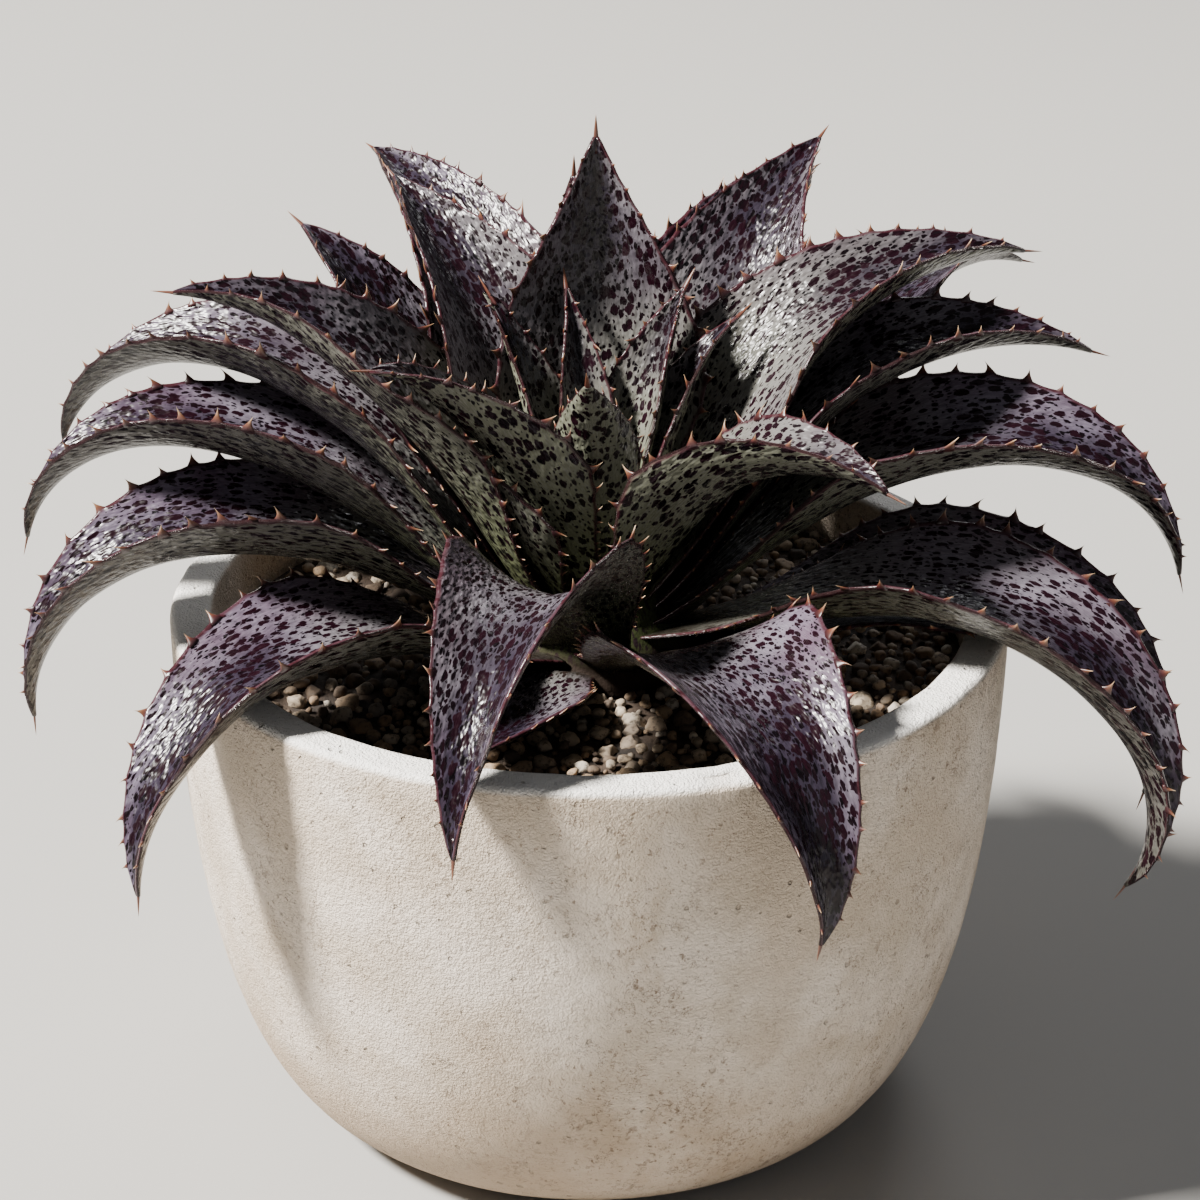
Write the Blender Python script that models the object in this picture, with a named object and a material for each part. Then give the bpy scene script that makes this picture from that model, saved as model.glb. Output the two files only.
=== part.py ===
"""A mangave with spotted, toothed leaves, growing in a round cast pot.

Metres, +Z up. The origin is the middle of the pot's foot, and -Y is the front.
"""

import math

import bmesh
import bpy
import numpy as np

# The pot: a thick bowl whose wall curves in to a flat foot.
POT_HEIGHT = 0.258
POT_RIM_RADIUS = 0.200
POT_FOOT_RADIUS = 0.100
POT_WALL = 0.020
POT_FLOOR = 0.026
RIM_EDGE = 0.004
FLOOR_CORNER = 0.010
DRAIN_RADIUS = 0.007
DRAIN_CIRCLE = 0.045
ROUND_SEGMENTS = 48
BELLY = 0.62
FLARE = 0.93

# The soil and the stem that stands in it.
SOIL_TOP = 0.230
GRIT_HEIGHT = 0.0035
DISH_DEPTH = 0.004
DISH_RADIUS = 0.062
GAP = 0.0003
STEM_X = 0.004
STEM_RADIUS = 0.047
STEM_HEIGHT = 0.064
STEM_TOP = 0.058
STEM_ROOT = 0.030

# The leaves. Sizes are in millimetres and angles in degrees: the direction
# in plan (90 is the back, 270 the front), the height of the leaf's foot on
# the stem, its length and width, its slope at the foot and at the tip, how
# late it bends, how far its tip swings round, its twist, its cup, and how
# full it stays towards the tip (1 is a straight taper).
LEAVES = [
    ("leaf_on_soil_front", 250, 4, 132, 60, 2, 14, 1.0, 0, 0, 36, 1.45),
    ("leaf_low_back_left", 119, 2, 232, 84, 27, -64, 2.0, 0, 0, 50, 1.45),
    ("leaf_low_back_right", 74, 3, 226, 92, 26, -62, 2.0, 0, 0, 50, 1.45),
    ("leaf_low_right_rear", 354, 4, 300, 104, 22, -108, 2.2, 0, 0, 56, 1.45),
    ("leaf_low_front_left", 217, 8, 272, 108, 26, -88, 1.8, 0, 10, 46, 1.45),
    ("leaf_low_front_right", 290, 8, 258, 116, 36, -105, 1.7, 22, 0, 46, 1.05),
    ("leaf_low_front", 258, 14, 250, 106, 66, -84, 1.2, -14, 10, 56, 1.0),
    ("leaf_low_back", 96, 8, 214, 90, 38, -56, 2.0, 0, 0, 50, 1.45),
    ("leaf_low_right", 340, 15.6, 322, 118, 15, -122, 2.4, 0, 0, 58, 1.45),
    ("leaf_low_left", 190, 10, 296, 110, 36, -92, 2.0, 0, 0, 56, 1.45),
    ("leaf_mid_left", 178, 13.6, 294, 106, 42, -78, 2.6, 0, 0, 56, 1.45),
    ("leaf_mid_right", 358, 20.6, 302, 110, 42, -78, 2.2, 0, 8, 54, 1.45),
    ("leaf_mid_left_rear", 164, 18, 308, 108, 51, -70, 2.2, 0, 0, 58, 1.45),
    ("leaf_back_left_outer", 148, 24, 220, 106, 60, 30, 2.0, 0, -15, 50, 1.45),
    ("leaf_back_right_inner", 64, 17, 292, 104, 59, -4, 1.6, 0, 0, 52, 1.45),
    ("leaf_back_left_rear", 120, 24, 280, 104, 64, 2, 1.6, 0, 0, 52, 1.45),
    ("leaf_right_rear_lower", 35, 22, 288, 106, 56, -20, 1.8, 0, 0, 56, 1.45),
    ("leaf_right_high", 12, 26, 262, 106, 54, -20, 1.8, 0, 0, 58, 1.45),
    ("leaf_back_lower", 98, 28, 200, 96, 62, 90, 1.5, 0, 0, 50, 1.45),
    ("leaf_left_high", 181, 28, 242, 108, 60, 4, 2.4, 0, 0, 62, 1.45),
    ("leaf_back_right", 54, 33, 250, 108, 60, 26, 1.8, 0, 0, 52, 1.45),
    ("leaf_right_rear", 22, 35, 264, 108, 58, -10, 2.0, 0, 0, 56, 1.45),
    ("leaf_back_left", 128, 36, 224, 108, 62, 26, 1.8, 0, 0, 52, 1.45),
    ("leaf_inner_left_lower", 197, 33, 116, 82, 58, 54, 2.0, 0, 0, 48, 1.45),
    ("leaf_back", 91, 41, 208, 106, 70, 88, 1.4, 0, 0, 46, 1.45),
    ("leaf_inner_right", 326, 35, 178, 98, 60, -14, 1.8, -6, -12, 54, 1.45),
    ("leaf_inner_left", 209, 44, 166, 92, 65, 24, 1.8, 0, 6, 54, 1.45),
    ("heart_spike_right", 31, 46, 134, 46, 76, 44, 1.2, 0, 0, 60, 1.45),
    ("heart_spike_left", 144, 48, 140, 44, 76, 54, 1.2, 0, 0, 60, 1.45),
    ("heart_spike_back_right", 48, 51, 146, 48, 80, 44, 1.2, 0, 0, 60, 1.45),
    ("heart_leaf", 265, 53, 120, 58, 77, 54, 1.4, 0, 0, 50, 1.45),
    ("heart_spike_back", 108, 54, 128, 40, 82, 58, 1.2, 0, 0, 60, 1.45),
]
LEAF_THICKNESS = 0.0056
MARGIN_THICKNESS = 0.0016
FOOT_INSIDE_STEM = 0.009
FOOT_WIDTH = 0.44
SPINE_LENGTH = 0.011
TOOTH_LENGTH = 0.0062
TOOTH_FOOT = 0.0060
TOOTH_PITCH = 0.021
TOOTHLESS_FOOT = 0.16
TOOTHLESS_TIP = 0.94
CLEARANCE = 0.0024
TEETH_REACH = 1.12


def smooth(low, high, x):
    """0 below low, 1 above high, and an even curve between."""
    t = np.clip((x - low) / (high - low), 0.0, 1.0)
    return t * t * (3.0 - 2.0 * t)


def stem_radius(height):
    """Radius of the tapering stem at a height above the soil."""
    return STEM_RADIUS * (1.0 - (max(0.0, height) / STEM_HEIGHT) ** 1.3)


def half_width(t, width, taper):
    """Half the blade's width along its length, from a narrowed foot to a long tip."""
    t = np.asarray(t, float)
    rise = FOOT_WIDTH + (1.0 - FOOT_WIDTH) * smooth(0.02, 0.46, t)
    fall = 1.0 - np.clip((t - 0.42) / 0.58, 0.0, 1.0) ** taper
    return width / 2 * rise * fall + 0.0012 * smooth(0.9, 1.0, t)


def thickness(t, size):
    """Blade thickness: fleshy along the middle, thin at the margins and towards the tip."""
    middle = LEAF_THICKNESS * (1.0 - 0.62 * smooth(0.25, 1.0, t))
    return MARGIN_THICKNESS + (middle - MARGIN_THICKNESS) * (1.0 - np.minimum(size, 1.0) ** 2)


def lean(size):
    """How far the section has turned up at a place across it, from 0 at the midrib to 1 at the margin."""
    return 1.5 * size - 0.5 * size**3


# Each leaf carries a small net of shifts that bends it clear of its
# neighbours. The net is smooth, so the blade stays smooth too.
NET_ALONG = np.linspace(0.0, 1.0, 23)
NET_ACROSS = np.linspace(-TEETH_REACH, TEETH_REACH, 9)


def spline_weights(places, net):
    """How much each line of the net moves each place: a smooth cubic blend of the nearest four."""
    count = len(net)
    x = (np.asarray(places, float).ravel() - net[0]) / (net[-1] - net[0]) * (count - 1)
    first = np.clip(np.floor(x).astype(int), 0, count - 2)
    f = x - first
    shares = np.stack([
        (1 - f) ** 3 / 6,
        (3 * f**3 - 6 * f**2 + 4) / 6,
        (-3 * f**3 + 3 * f**2 + 3 * f + 1) / 6,
        f**3 / 6,
    ])
    weights = np.zeros((len(x), count))
    for k in range(4):
        np.add.at(weights, (np.arange(len(x)), np.clip(first - 1 + k, 0, count - 1)), shares[k])
    return weights


class Leaf:
    """The middle line of one leaf, its cupped sections and the shifts that bend it clear."""

    def __init__(self, row):
        (self.name, azimuth, foot, length, width, low, high, self.bend, swing, twist, cup, self.taper) = row
        self.azimuth = math.radians(azimuth)
        self.length = length / 1000
        self.width = width / 1000
        self.slopes = math.radians(low), math.radians(high)
        self.swing = math.radians(swing)
        self.twist = math.radians(twist)
        self.cup = math.radians(cup)
        foot = foot / 1000
        reach = stem_radius(foot) - FOOT_INSIDE_STEM * math.cos(self.slopes[0])
        start = np.array([
            STEM_X + reach * math.cos(self.azimuth),
            reach * math.sin(self.azimuth),
            SOIL_TOP + foot - FOOT_INSIDE_STEM * math.sin(self.slopes[0]),
        ])
        steps = 240
        middles = (np.arange(steps) + 0.5) / steps
        moves = self.along(middles) * self.length / steps
        self.line = np.vstack([start, start + np.cumsum(moves, axis=0)])
        self.shifts = np.zeros((len(NET_ALONG), len(NET_ACROSS), 3))

    def slope(self, t):
        low, high = self.slopes
        return low + (high - low) * np.asarray(t) ** self.bend

    def heading(self, t):
        return self.azimuth + self.swing * np.asarray(t) ** 1.5

    def along(self, t):
        slope, heading = self.slope(t), self.heading(t)
        return np.stack([
            np.cos(slope) * np.cos(heading),
            np.cos(slope) * np.sin(heading),
            np.sin(slope),
        ], axis=-1)

    def centre(self, t):
        places = np.linspace(0.0, 1.0, len(self.line))
        return np.stack([np.interp(t, places, self.line[:, k]) for k in range(3)], axis=-1)

    def points(self, t, across, depth=0.0):
        """Points at t along and across (-1 to 1), depth below the upper face as a share of the thickness."""
        t = np.asarray(t, float)
        across = np.asarray(across, float)
        heading = self.heading(t)
        along = self.along(t)
        side = np.stack([-np.sin(heading), np.cos(heading), np.zeros_like(heading)], axis=-1)
        up = np.cross(along, side)
        roll = (self.twist * smooth(0.1, 0.7, t))[..., None]
        side, up = side * np.cos(roll) + up * np.sin(roll), up * np.cos(roll) - side * np.sin(roll)
        centre = self.centre(t)
        half = half_width(t, self.width, self.taper)
        clasp = half * np.sin(self.slope(t)) / np.maximum(
            np.hypot(centre[..., 0] - STEM_X, centre[..., 1]), 0.018
        )
        cup = clasp + (self.cup - clasp) * smooth(0.08, 0.42, t)
        size = np.abs(across)
        sideways = np.zeros_like(size)
        raised = np.zeros_like(size)
        for share in (np.arange(12) + 0.5) / 12:
            sideways = sideways + np.cos(cup * lean(size * share)) / 12
            raised = raised + np.sin(cup * lean(size * share)) / 12
        sideways = half * across * sideways
        raised = half * size * raised
        tilt = cup * lean(size) * np.sign(across)
        below = thickness(t, size) * (depth - 0.5)
        sideways = sideways + below * np.sin(tilt)
        raised = raised - below * np.cos(tilt)
        shift = np.einsum(
            "na,abk,nb->nk",
            spline_weights(t, NET_ALONG), self.shifts, spline_weights(across, NET_ACROSS),
        ).reshape(centre.shape)
        return centre + side * sideways[..., None] + up * raised[..., None] + shift


def net_of(leaf):
    """The leaf's middle surface at its net's crossings, and which way its upper face looks there."""
    along, across = np.meshgrid(NET_ALONG, NET_ACROSS, indexing="ij")
    places = leaf.points(along.ravel(), across.ravel(), 0.5).reshape(along.shape + (3,))
    normals = np.cross(np.gradient(places, axis=0), np.gradient(places, axis=1))
    normals /= np.linalg.norm(normals, axis=-1, keepdims=True) + 1e-12
    return places.reshape(-1, 3), normals.reshape(-1, 3)


def outside_stem(places):
    """True for the places that stand clear of the stem, or only just inside it."""
    height = np.clip(places[:, 2] - SOIL_TOP, 0.0, STEM_HEIGHT)
    radius = STEM_RADIUS * (1.0 - (height / STEM_HEIGHT) ** 1.3)
    return np.hypot(places[:, 0] - STEM_X, places[:, 1]) > radius - 0.005


def turned_between(first, second):
    """The angle in plan between two leaves, from 0 to 180 degrees."""
    turn = abs(first.azimuth - second.azimuth) % (2.0 * math.pi)
    return math.degrees(min(turn, 2.0 * math.pi - turn))


def push_apart(lower, upper, half, moves, turn):
    """Adds the moves that bring two nets to the distance they need.

    The upper leaf stays on the lower one's upper side. The lower leaf stays
    under the upper one if they point much the same way, and on its upper side
    if they point opposite ways.
    """
    (low_at, low_facing, low_free), (up_at, up_facing, up_free) = lower, upper
    squares = (
        (low_at**2).sum(1)[:, None] + (up_at**2).sum(1)[None] - 2.0 * low_at @ up_at.T
    )
    sides = [(up_at, up_free, low_at, low_facing, 1, 0, 0)]
    if turn < 80.0:
        sides.append((low_at, low_free, up_at, -up_facing, 0, 1, 1))
    elif turn > 130.0:
        sides.append((low_at, low_free, up_at, up_facing, 0, 1, 1))
    for own, free, other, facing, own_k, other_k, axis in sides:
        nearest = squares.argmin(axis=axis)
        normal = facing[nearest]
        offset = own - other[nearest]
        apart = (offset * normal).sum(1)
        beside = np.sqrt(np.maximum((offset**2).sum(1) - apart**2, 0.0))
        need = half + half[nearest] + CLEARANCE
        close = free & (beside < 0.008) & (apart < need) & (apart > -0.022)
        push = np.where(close, np.minimum(need - apart, 0.004), 0.0)[:, None] * 0.5 * normal
        moves[own_k] += push
        counts = np.bincount(nearest[close], minlength=len(other))[:, None]
        back = np.zeros_like(other)
        np.add.at(back, nearest[close], push[close])
        moves[other_k] -= back / np.maximum(counts, 1)


def clear_of_pot(places, half):
    """Moves that lift a net off the soil and the rim and keep what hangs outside off the wall."""
    moves = np.zeros_like(places)
    radius = np.hypot(places[:, 0], places[:, 1])
    outward = places[:, :2] / np.maximum(radius, 1e-6)[:, None]
    floor = SOIL_TOP + GRIT_HEIGHT + half + 0.001
    over_soil = (radius < POT_RIM_RADIUS - POT_WALL) & (radius > STEM_RADIUS)
    moves[:, 2] += np.where(over_soil, np.maximum(floor - places[:, 2], 0.0), 0.0)
    deep = POT_HEIGHT + half + 0.0042 - places[:, 2]
    out = POT_RIM_RADIUS + half + 0.0042 - radius
    inside_wall = (out > 0.0) & (deep > 0.0) & (radius > POT_RIM_RADIUS - POT_WALL - 0.006)
    sideways = inside_wall & (out < deep)
    moves[:, 2] += np.where(inside_wall & ~sideways, deep, 0.0)
    moves[:, :2] += np.where(sideways, out, 0.0)[:, None] * outward
    return moves


def settle(leaves, rounds=120):
    """Bends the leaves clear of each other, of the soil and of the pot, a little at a time."""
    shape = (len(NET_ALONG), len(NET_ACROSS), 3)
    along, across = np.meshgrid(NET_ALONG, np.abs(NET_ACROSS), indexing="ij")
    half = (thickness(along, across) / 2).ravel()
    base = [net_of(leaf)[0].reshape(shape) for leaf in leaves]
    rows = spline_weights(NET_ALONG, NET_ALONG)
    columns = spline_weights(NET_ACROSS, NET_ACROSS)
    pairs = []
    for step in range(rounds):
        places = [
            place + np.einsum("ij,jkd,lk->ild", rows, leaf.shifts, columns)
            for place, leaf in zip(base, leaves)
        ]
        nets = []
        for place in places:
            normals = np.cross(np.gradient(place, axis=0), np.gradient(place, axis=1))
            normals /= np.linalg.norm(normals, axis=-1, keepdims=True) + 1e-12
            place = place.reshape(-1, 3)
            nets.append((place, normals.reshape(-1, 3), outside_stem(place)))
        if step % 15 == 0:
            low = np.array([net[0].min(axis=0) for net in nets]) - 0.02
            high = np.array([net[0].max(axis=0) for net in nets]) + 0.02
            pairs = [
                (i, j)
                for i in range(len(leaves))
                for j in range(i + 1, len(leaves))
                if (low[i] < high[j]).all() and (low[j] < high[i]).all()
            ]
        moves = [np.zeros_like(net[0]) for net in nets]
        for i, j in pairs:
            both = [moves[i], moves[j]]
            turn = turned_between(leaves[i], leaves[j])
            push_apart(nets[i], nets[j], half, both, turn)
            moves[i], moves[j] = both
        ease = 0.45 * (1.0 - step / rounds) ** 1.6
        for leaf, net, move in zip(leaves, nets, moves):
            move = move + clear_of_pot(net[0], half)
            shifts = leaf.shifts + 0.6 * move.reshape(shape)
            soft = shifts.copy()
            soft[1:-1] = (shifts[:-2] + 2.0 * shifts[1:-1] + shifts[2:]) / 4.0
            shifts = shifts + ease * (soft - shifts)
            soft = shifts.copy()
            soft[:, 1:-1] = (shifts[:, :-2] + 2.0 * shifts[:, 1:-1] + shifts[:, 2:]) / 4.0
            leaf.shifts = shifts + ease * (soft - shifts)


# Building the meshes. A leaf's margins hold two places for each tooth and
# the inner lines of its net one, and both faces are split alike.
def tooth_places(leaf):
    """Where the teeth stand along one margin, as shares of the length."""
    start = TOOTHLESS_FOOT
    end = TOOTHLESS_TIP
    count = max(4, round((end - start) * leaf.length / TOOTH_PITCH))
    return start + (end - start) * (np.arange(count) + 0.5) / count


def zip_strip(first, second, places_first, places_second, flip):
    """Triangles between two lines of points, taking the next point along each in turn."""
    faces = []
    i = j = 0
    while i < len(first) - 1 or j < len(second) - 1:
        step_first = j == len(second) - 1 or (
            i < len(first) - 1 and places_first[i + 1] <= places_second[j + 1]
        )
        if step_first:
            faces.append((first[i], second[j], first[i + 1]))
            i += 1
        else:
            faces.append((first[i], second[j], second[j + 1]))
            j += 1
    return [face[::-1] for face in faces] if flip else faces


def leaf_mesh(leaf):
    """Points and triangles of a closed leaf with a tooth at each tooth place and a spine at the tip."""
    teeth = tooth_places(leaf)
    half_foot = TOOTH_FOOT / leaf.length / 2
    inner = np.concatenate([[0.0, 0.07], teeth, [1.0]])
    margin = np.concatenate([
        [0.0, 0.07],
        np.stack([teeth - half_foot, teeth + half_foot], axis=1).ravel(),
        [1.0],
    ])
    columns = [(-1.0, margin), (-0.52, inner), (0.0, inner), (0.52, inner), (1.0, margin)]
    points = []
    faces = []
    lines = {}
    for depth in (0.0, 1.0):
        for k, (across, places) in enumerate(columns):
            lines[depth, k] = list(range(len(points), len(points) + len(places)))
            points.extend(leaf.points(places, np.full_like(places, across), depth))
    for depth in (0.0, 1.0):
        for k in range(4):
            faces += zip_strip(
                lines[depth, k], lines[depth, k + 1], columns[k][1], columns[k + 1][1],
                flip=depth == 0.0,
            )
    for k, hand in ((0, -1.0), (4, 1.0)):
        top = lines[0.0, k]
        low = lines[1.0, k]
        for i in range(len(margin) - 1):
            ring = [top[i], top[i + 1], low[i + 1], low[i]]
            if hand < 0:
                ring.reverse()
            if i >= 2 and i % 2 == 0 and i < len(margin) - 2:
                corners = np.array([points[v] for v in ring])
                middle = (margin[i] + margin[i + 1]) / 2
                edge = leaf.points(np.array([middle]), np.array([hand]), 0.5)[0]
                inward = leaf.points(np.array([middle]), np.array([0.82 * hand]), 0.5)[0]
                out = edge - inward
                out = out / np.linalg.norm(out)
                lean_to_tip = leaf.along(np.array([middle]))[0]
                size = min(1.0, 0.45 + 0.6 * float(half_width(middle, leaf.width, leaf.taper)) / 0.045)
                apex = corners.mean(axis=0) + size * TOOTH_LENGTH * (out + 0.25 * lean_to_tip)
                points.append(apex)
                peak = len(points) - 1
                faces += [(ring[n], ring[(n + 1) % 4], peak) for n in range(4)]
            else:
                faces += [(ring[0], ring[1], ring[2]), (ring[0], ring[2], ring[3])]
    for k in range(4):
        ring = [lines[0.0, k + 1][0], lines[1.0, k + 1][0], lines[1.0, k][0], lines[0.0, k][0]]
        faces += [(ring[0], ring[1], ring[2]), (ring[0], ring[2], ring[3])]
    rim = [lines[0.0, k][-1] for k in range(5)] + [lines[1.0, k][-1] for k in (4, 3, 2, 1, 0)]
    end = leaf.centre(np.array([1.0]))[0] + SPINE_LENGTH * leaf.along(np.array([1.0]))[0]
    points.append(end)
    for n in range(len(rim)):
        faces.append((rim[(n + 1) % len(rim)], rim[n], len(points) - 1))
    return np.array(points), faces


def bowl_radius(height):
    """Outer radius of the pot at a height, from the foot to the rim."""
    turn = math.acos(max(0.0, 1.0 - height / POT_HEIGHT) ** (1.0 / FLARE))
    return POT_FOOT_RADIUS + (POT_RIM_RADIUS - POT_FOOT_RADIUS) * math.sin(turn) ** BELLY


def turned(profile, segments):
    """Points and triangles of a profile of (radius, height) turned about the upright axis, from pole to pole."""
    points = []
    rings = []
    for radius, height in profile:
        ring = []
        if radius < 1e-9:
            ring = [len(points)] * segments
            points.append((0.0, 0.0, height))
        else:
            for n in range(segments):
                turn = 2.0 * math.pi * n / segments
                ring.append(len(points))
                points.append((radius * math.cos(turn), radius * math.sin(turn), height))
        rings.append(ring)
    faces = []
    for low, high in zip(rings, rings[1:]):
        for n in range(segments):
            m = (n + 1) % segments
            if low[n] != low[m]:
                faces.append((low[n], low[m], high[m]))
            if high[n] != high[m]:
                faces.append((low[n], high[m], high[n]))
    return np.array(points), faces


def inner_wall():
    """The pot's inner wall as (radius, height), from just under the rim down to the floor."""
    wall = [(POT_RIM_RADIUS - POT_WALL, POT_HEIGHT - RIM_EDGE)]
    for share in (0.86, 0.7, 0.5, 0.32, 0.18):
        wall.append((bowl_radius(POT_HEIGHT * share) - POT_WALL, POT_HEIGHT * share))
    floor = bowl_radius(POT_FLOOR) - POT_WALL
    wall.append((floor, POT_FLOOR + 0.6 * FLOOR_CORNER))
    wall.append((floor - FLOOR_CORNER, POT_FLOOR))
    return wall


def pot_profile():
    """The pot's wall from the middle of the foot out and up, over the rim and down to the middle of the floor."""
    lip = POT_RIM_RADIUS - POT_WALL
    outer = [
        (bowl_radius(POT_HEIGHT * share), POT_HEIGHT * share)
        for share in (0.012, 0.045, 0.1, 0.18, 0.28, 0.4, 0.54, 0.7, 0.86)
    ]
    rim = [
        (POT_RIM_RADIUS, POT_HEIGHT - RIM_EDGE),
        (POT_RIM_RADIUS - 0.3 * RIM_EDGE, POT_HEIGHT - 0.3 * RIM_EDGE),
        (POT_RIM_RADIUS - RIM_EDGE, POT_HEIGHT),
        (lip + RIM_EDGE, POT_HEIGHT),
        (lip + 0.3 * RIM_EDGE, POT_HEIGHT - 0.3 * RIM_EDGE),
    ]
    foot = [(0.0, 0.0), (POT_FOOT_RADIUS, 0.0)]
    return foot + outer + rim + inner_wall() + [(0.0, POT_FLOOR)]


def drain_pegs(count=3, segments=14):
    """Points and triangles of the upright pegs that the drain holes are cut with, longer than the floor is thick."""
    low, high = -0.01, POT_FLOOR + 0.01
    outline = [(0.0, low), (DRAIN_RADIUS, low), (DRAIN_RADIUS, high), (0.0, high)]
    peg, peg_faces = turned(outline, segments)
    points = []
    faces = []
    for n in range(count):
        turn = math.radians(30.0) + 2.0 * math.pi * n / count
        aside = np.array([DRAIN_CIRCLE * math.cos(turn), DRAIN_CIRCLE * math.sin(turn), 0.0])
        faces += [tuple(v + len(points) for v in face) for face in peg_faces]
        points += list(peg + aside)
    return points, faces


def soil_top(radius):
    """Mean height of the soil: a shallow dish round the stem."""
    return SOIL_TOP - DISH_DEPTH * (1.0 - float(smooth(STEM_RADIUS, DISH_RADIUS, radius)))


def soil_mesh(segments=ROUND_SEGMENTS, rings=16):
    """Points and triangles of the soil: a fill with a gritty top and a plain hole for the stem."""
    chance = np.random.default_rng(7)
    hole = STEM_RADIUS + GAP
    wall = inner_wall()
    heights = [height for _, height in wall[1::-1]]
    edge = float(np.interp(SOIL_TOP, heights, [radius for radius, _ in wall[1::-1]])) - 1.5 * GAP
    top = [hole + (edge - hole) * share for share in np.linspace(0.0, 1.0, rings)]
    bottom_of_hole = SOIL_TOP - STEM_ROOT - GAP
    profile = (
        [(0.0, bottom_of_hole), (hole, bottom_of_hole)]
        + [(radius, soil_top(radius)) for radius in top]
        + [(radius - 1.5 * GAP, height) for radius, height in wall[1:-1]]
        + [(wall[-1][0] - 1.5 * GAP, POT_FLOOR + GAP), (0.0, POT_FLOOR + GAP)]
    )
    points, faces = turned(profile, segments)
    faces = [face[::-1] for face in faces]
    spacing = (edge - hole) / (rings - 1)
    points[:1 + segments, 0] += STEM_X
    for ring in range(rings - 1):
        first = 1 + segments * (1 + ring)
        aside = STEM_X * (1.0 - ring / (rings - 1))
        if ring == 0:
            points[first:first + segments, 0] += aside
            continue
        for n in range(first, first + segments):
            x, y, z = points[n]
            radius = math.hypot(x, y) + chance.uniform(-0.3, 0.3) * spacing
            turn = math.atan2(y, x) + chance.uniform(-0.35, 0.35) * 2.0 * math.pi / segments
            points[n] = (
                aside + radius * math.cos(turn),
                radius * math.sin(turn),
                z + chance.uniform(0.0, 1.0) ** 1.5 * GRIT_HEIGHT,
            )
    return points, faces


def stem_mesh(extra=0.0, segments=36):
    """Points and triangles of the tapering stem, or of the same shape a little larger."""
    heights = np.linspace(0.0, STEM_TOP, 8)
    profile = [(0.0, -STEM_ROOT - extra), (STEM_RADIUS + extra, -STEM_ROOT - extra)]
    profile += [(stem_radius(height) + extra, height + extra) for height in heights]
    profile += [(0.0, STEM_TOP + extra)]
    points, faces = turned(profile, segments)
    return points + np.array([STEM_X, 0.0, SOIL_TOP]), faces


# Blender objects
def clear_scene():
    for item in list(bpy.data.objects):
        bpy.data.objects.remove(item, do_unlink=True)


def material(name, colour, roughness):
    """A plain Principled material."""
    made = bpy.data.materials.new(name)
    made.use_nodes = True
    shader = made.node_tree.nodes["Principled BSDF"]
    shader.inputs["Base Color"].default_value = (*colour, 1.0)
    shader.inputs["Roughness"].default_value = roughness
    shader.inputs["Metallic"].default_value = 0.0
    made.diffuse_color = (*colour, 1.0)
    return made


def cut_away(item, name, cutter):
    """Takes the cutter's shape out of an object."""
    cut = item.modifiers.new(name, "BOOLEAN")
    cut.operation = "DIFFERENCE"
    cut.solver = "EXACT"
    cut.object = cutter


def add_cutter(name, points, faces, surface):
    """A shape that is only there to be cut out of others."""
    item = add_object(name, points, faces, surface)
    item.hide_render = True
    item.display_type = "WIRE"
    return item


def add_object(name, points, faces, surface):
    """A named mesh object with smooth shading."""
    mesh = bpy.data.meshes.new(name)
    mesh.from_pydata([tuple(map(float, point)) for point in points], [], faces)
    mesh.update()
    net = bmesh.new()
    net.from_mesh(mesh)
    bmesh.ops.recalc_face_normals(net, faces=net.faces)
    net.to_mesh(mesh)
    net.free()
    for face in mesh.polygons:
        face.use_smooth = True
    mesh.materials.append(surface)
    item = bpy.data.objects.new(name, mesh)
    bpy.context.scene.collection.objects.link(item)
    return item


def main():
    clear_scene()
    concrete = material("concrete", (0.60, 0.55, 0.47), 0.85)
    soil = material("soil", (0.060, 0.045, 0.035), 0.95)
    flesh = material("stem", (0.16, 0.20, 0.08), 0.55)
    blade = material("leaf", (0.14, 0.13, 0.15), 0.45)

    pot = add_object("pot", *turned(pot_profile(), ROUND_SEGMENTS), concrete)
    cut_away(pot, "drain_holes", add_cutter("drain_cutter", *drain_pegs(), concrete))
    add_object("soil", *soil_mesh(), soil)
    add_object("stem", *stem_mesh(), flesh)

    around_stem = add_cutter("stem_cutter", *stem_mesh(GAP), flesh)
    leaves = [Leaf(row) for row in LEAVES]
    settle(leaves)
    for leaf in leaves:
        item = add_object(leaf.name, *leaf_mesh(leaf), blade)
        cut_away(item, "clear_of_stem", around_stem)


main()
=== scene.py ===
import math

import bmesh
import bpy
import numpy as np
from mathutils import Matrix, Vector, noise


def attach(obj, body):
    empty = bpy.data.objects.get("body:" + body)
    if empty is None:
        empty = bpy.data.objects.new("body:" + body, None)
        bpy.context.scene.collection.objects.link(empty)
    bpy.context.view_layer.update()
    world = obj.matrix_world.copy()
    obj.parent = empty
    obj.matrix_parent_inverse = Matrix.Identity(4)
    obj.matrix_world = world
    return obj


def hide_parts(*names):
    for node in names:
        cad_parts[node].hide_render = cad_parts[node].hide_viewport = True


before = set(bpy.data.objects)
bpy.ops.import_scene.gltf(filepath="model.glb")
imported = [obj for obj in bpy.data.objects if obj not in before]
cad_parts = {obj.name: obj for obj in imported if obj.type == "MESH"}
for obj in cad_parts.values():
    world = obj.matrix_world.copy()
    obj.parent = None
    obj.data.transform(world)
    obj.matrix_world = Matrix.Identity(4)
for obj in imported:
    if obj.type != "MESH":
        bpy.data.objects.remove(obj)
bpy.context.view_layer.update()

# The pot.
POT_HEIGHT = 0.258
POT_RIM_RADIUS = 0.200
POT_FOOT_RADIUS = 0.100
POT_WALL = 0.020
POT_FLOOR = 0.026
RIM_EDGE = 0.004
RIM_DEPTH = 0.007
FLOOR_CORNER = 0.010
DRAIN_RADIUS = 0.007
DRAIN_CIRCLE = 0.045
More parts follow.
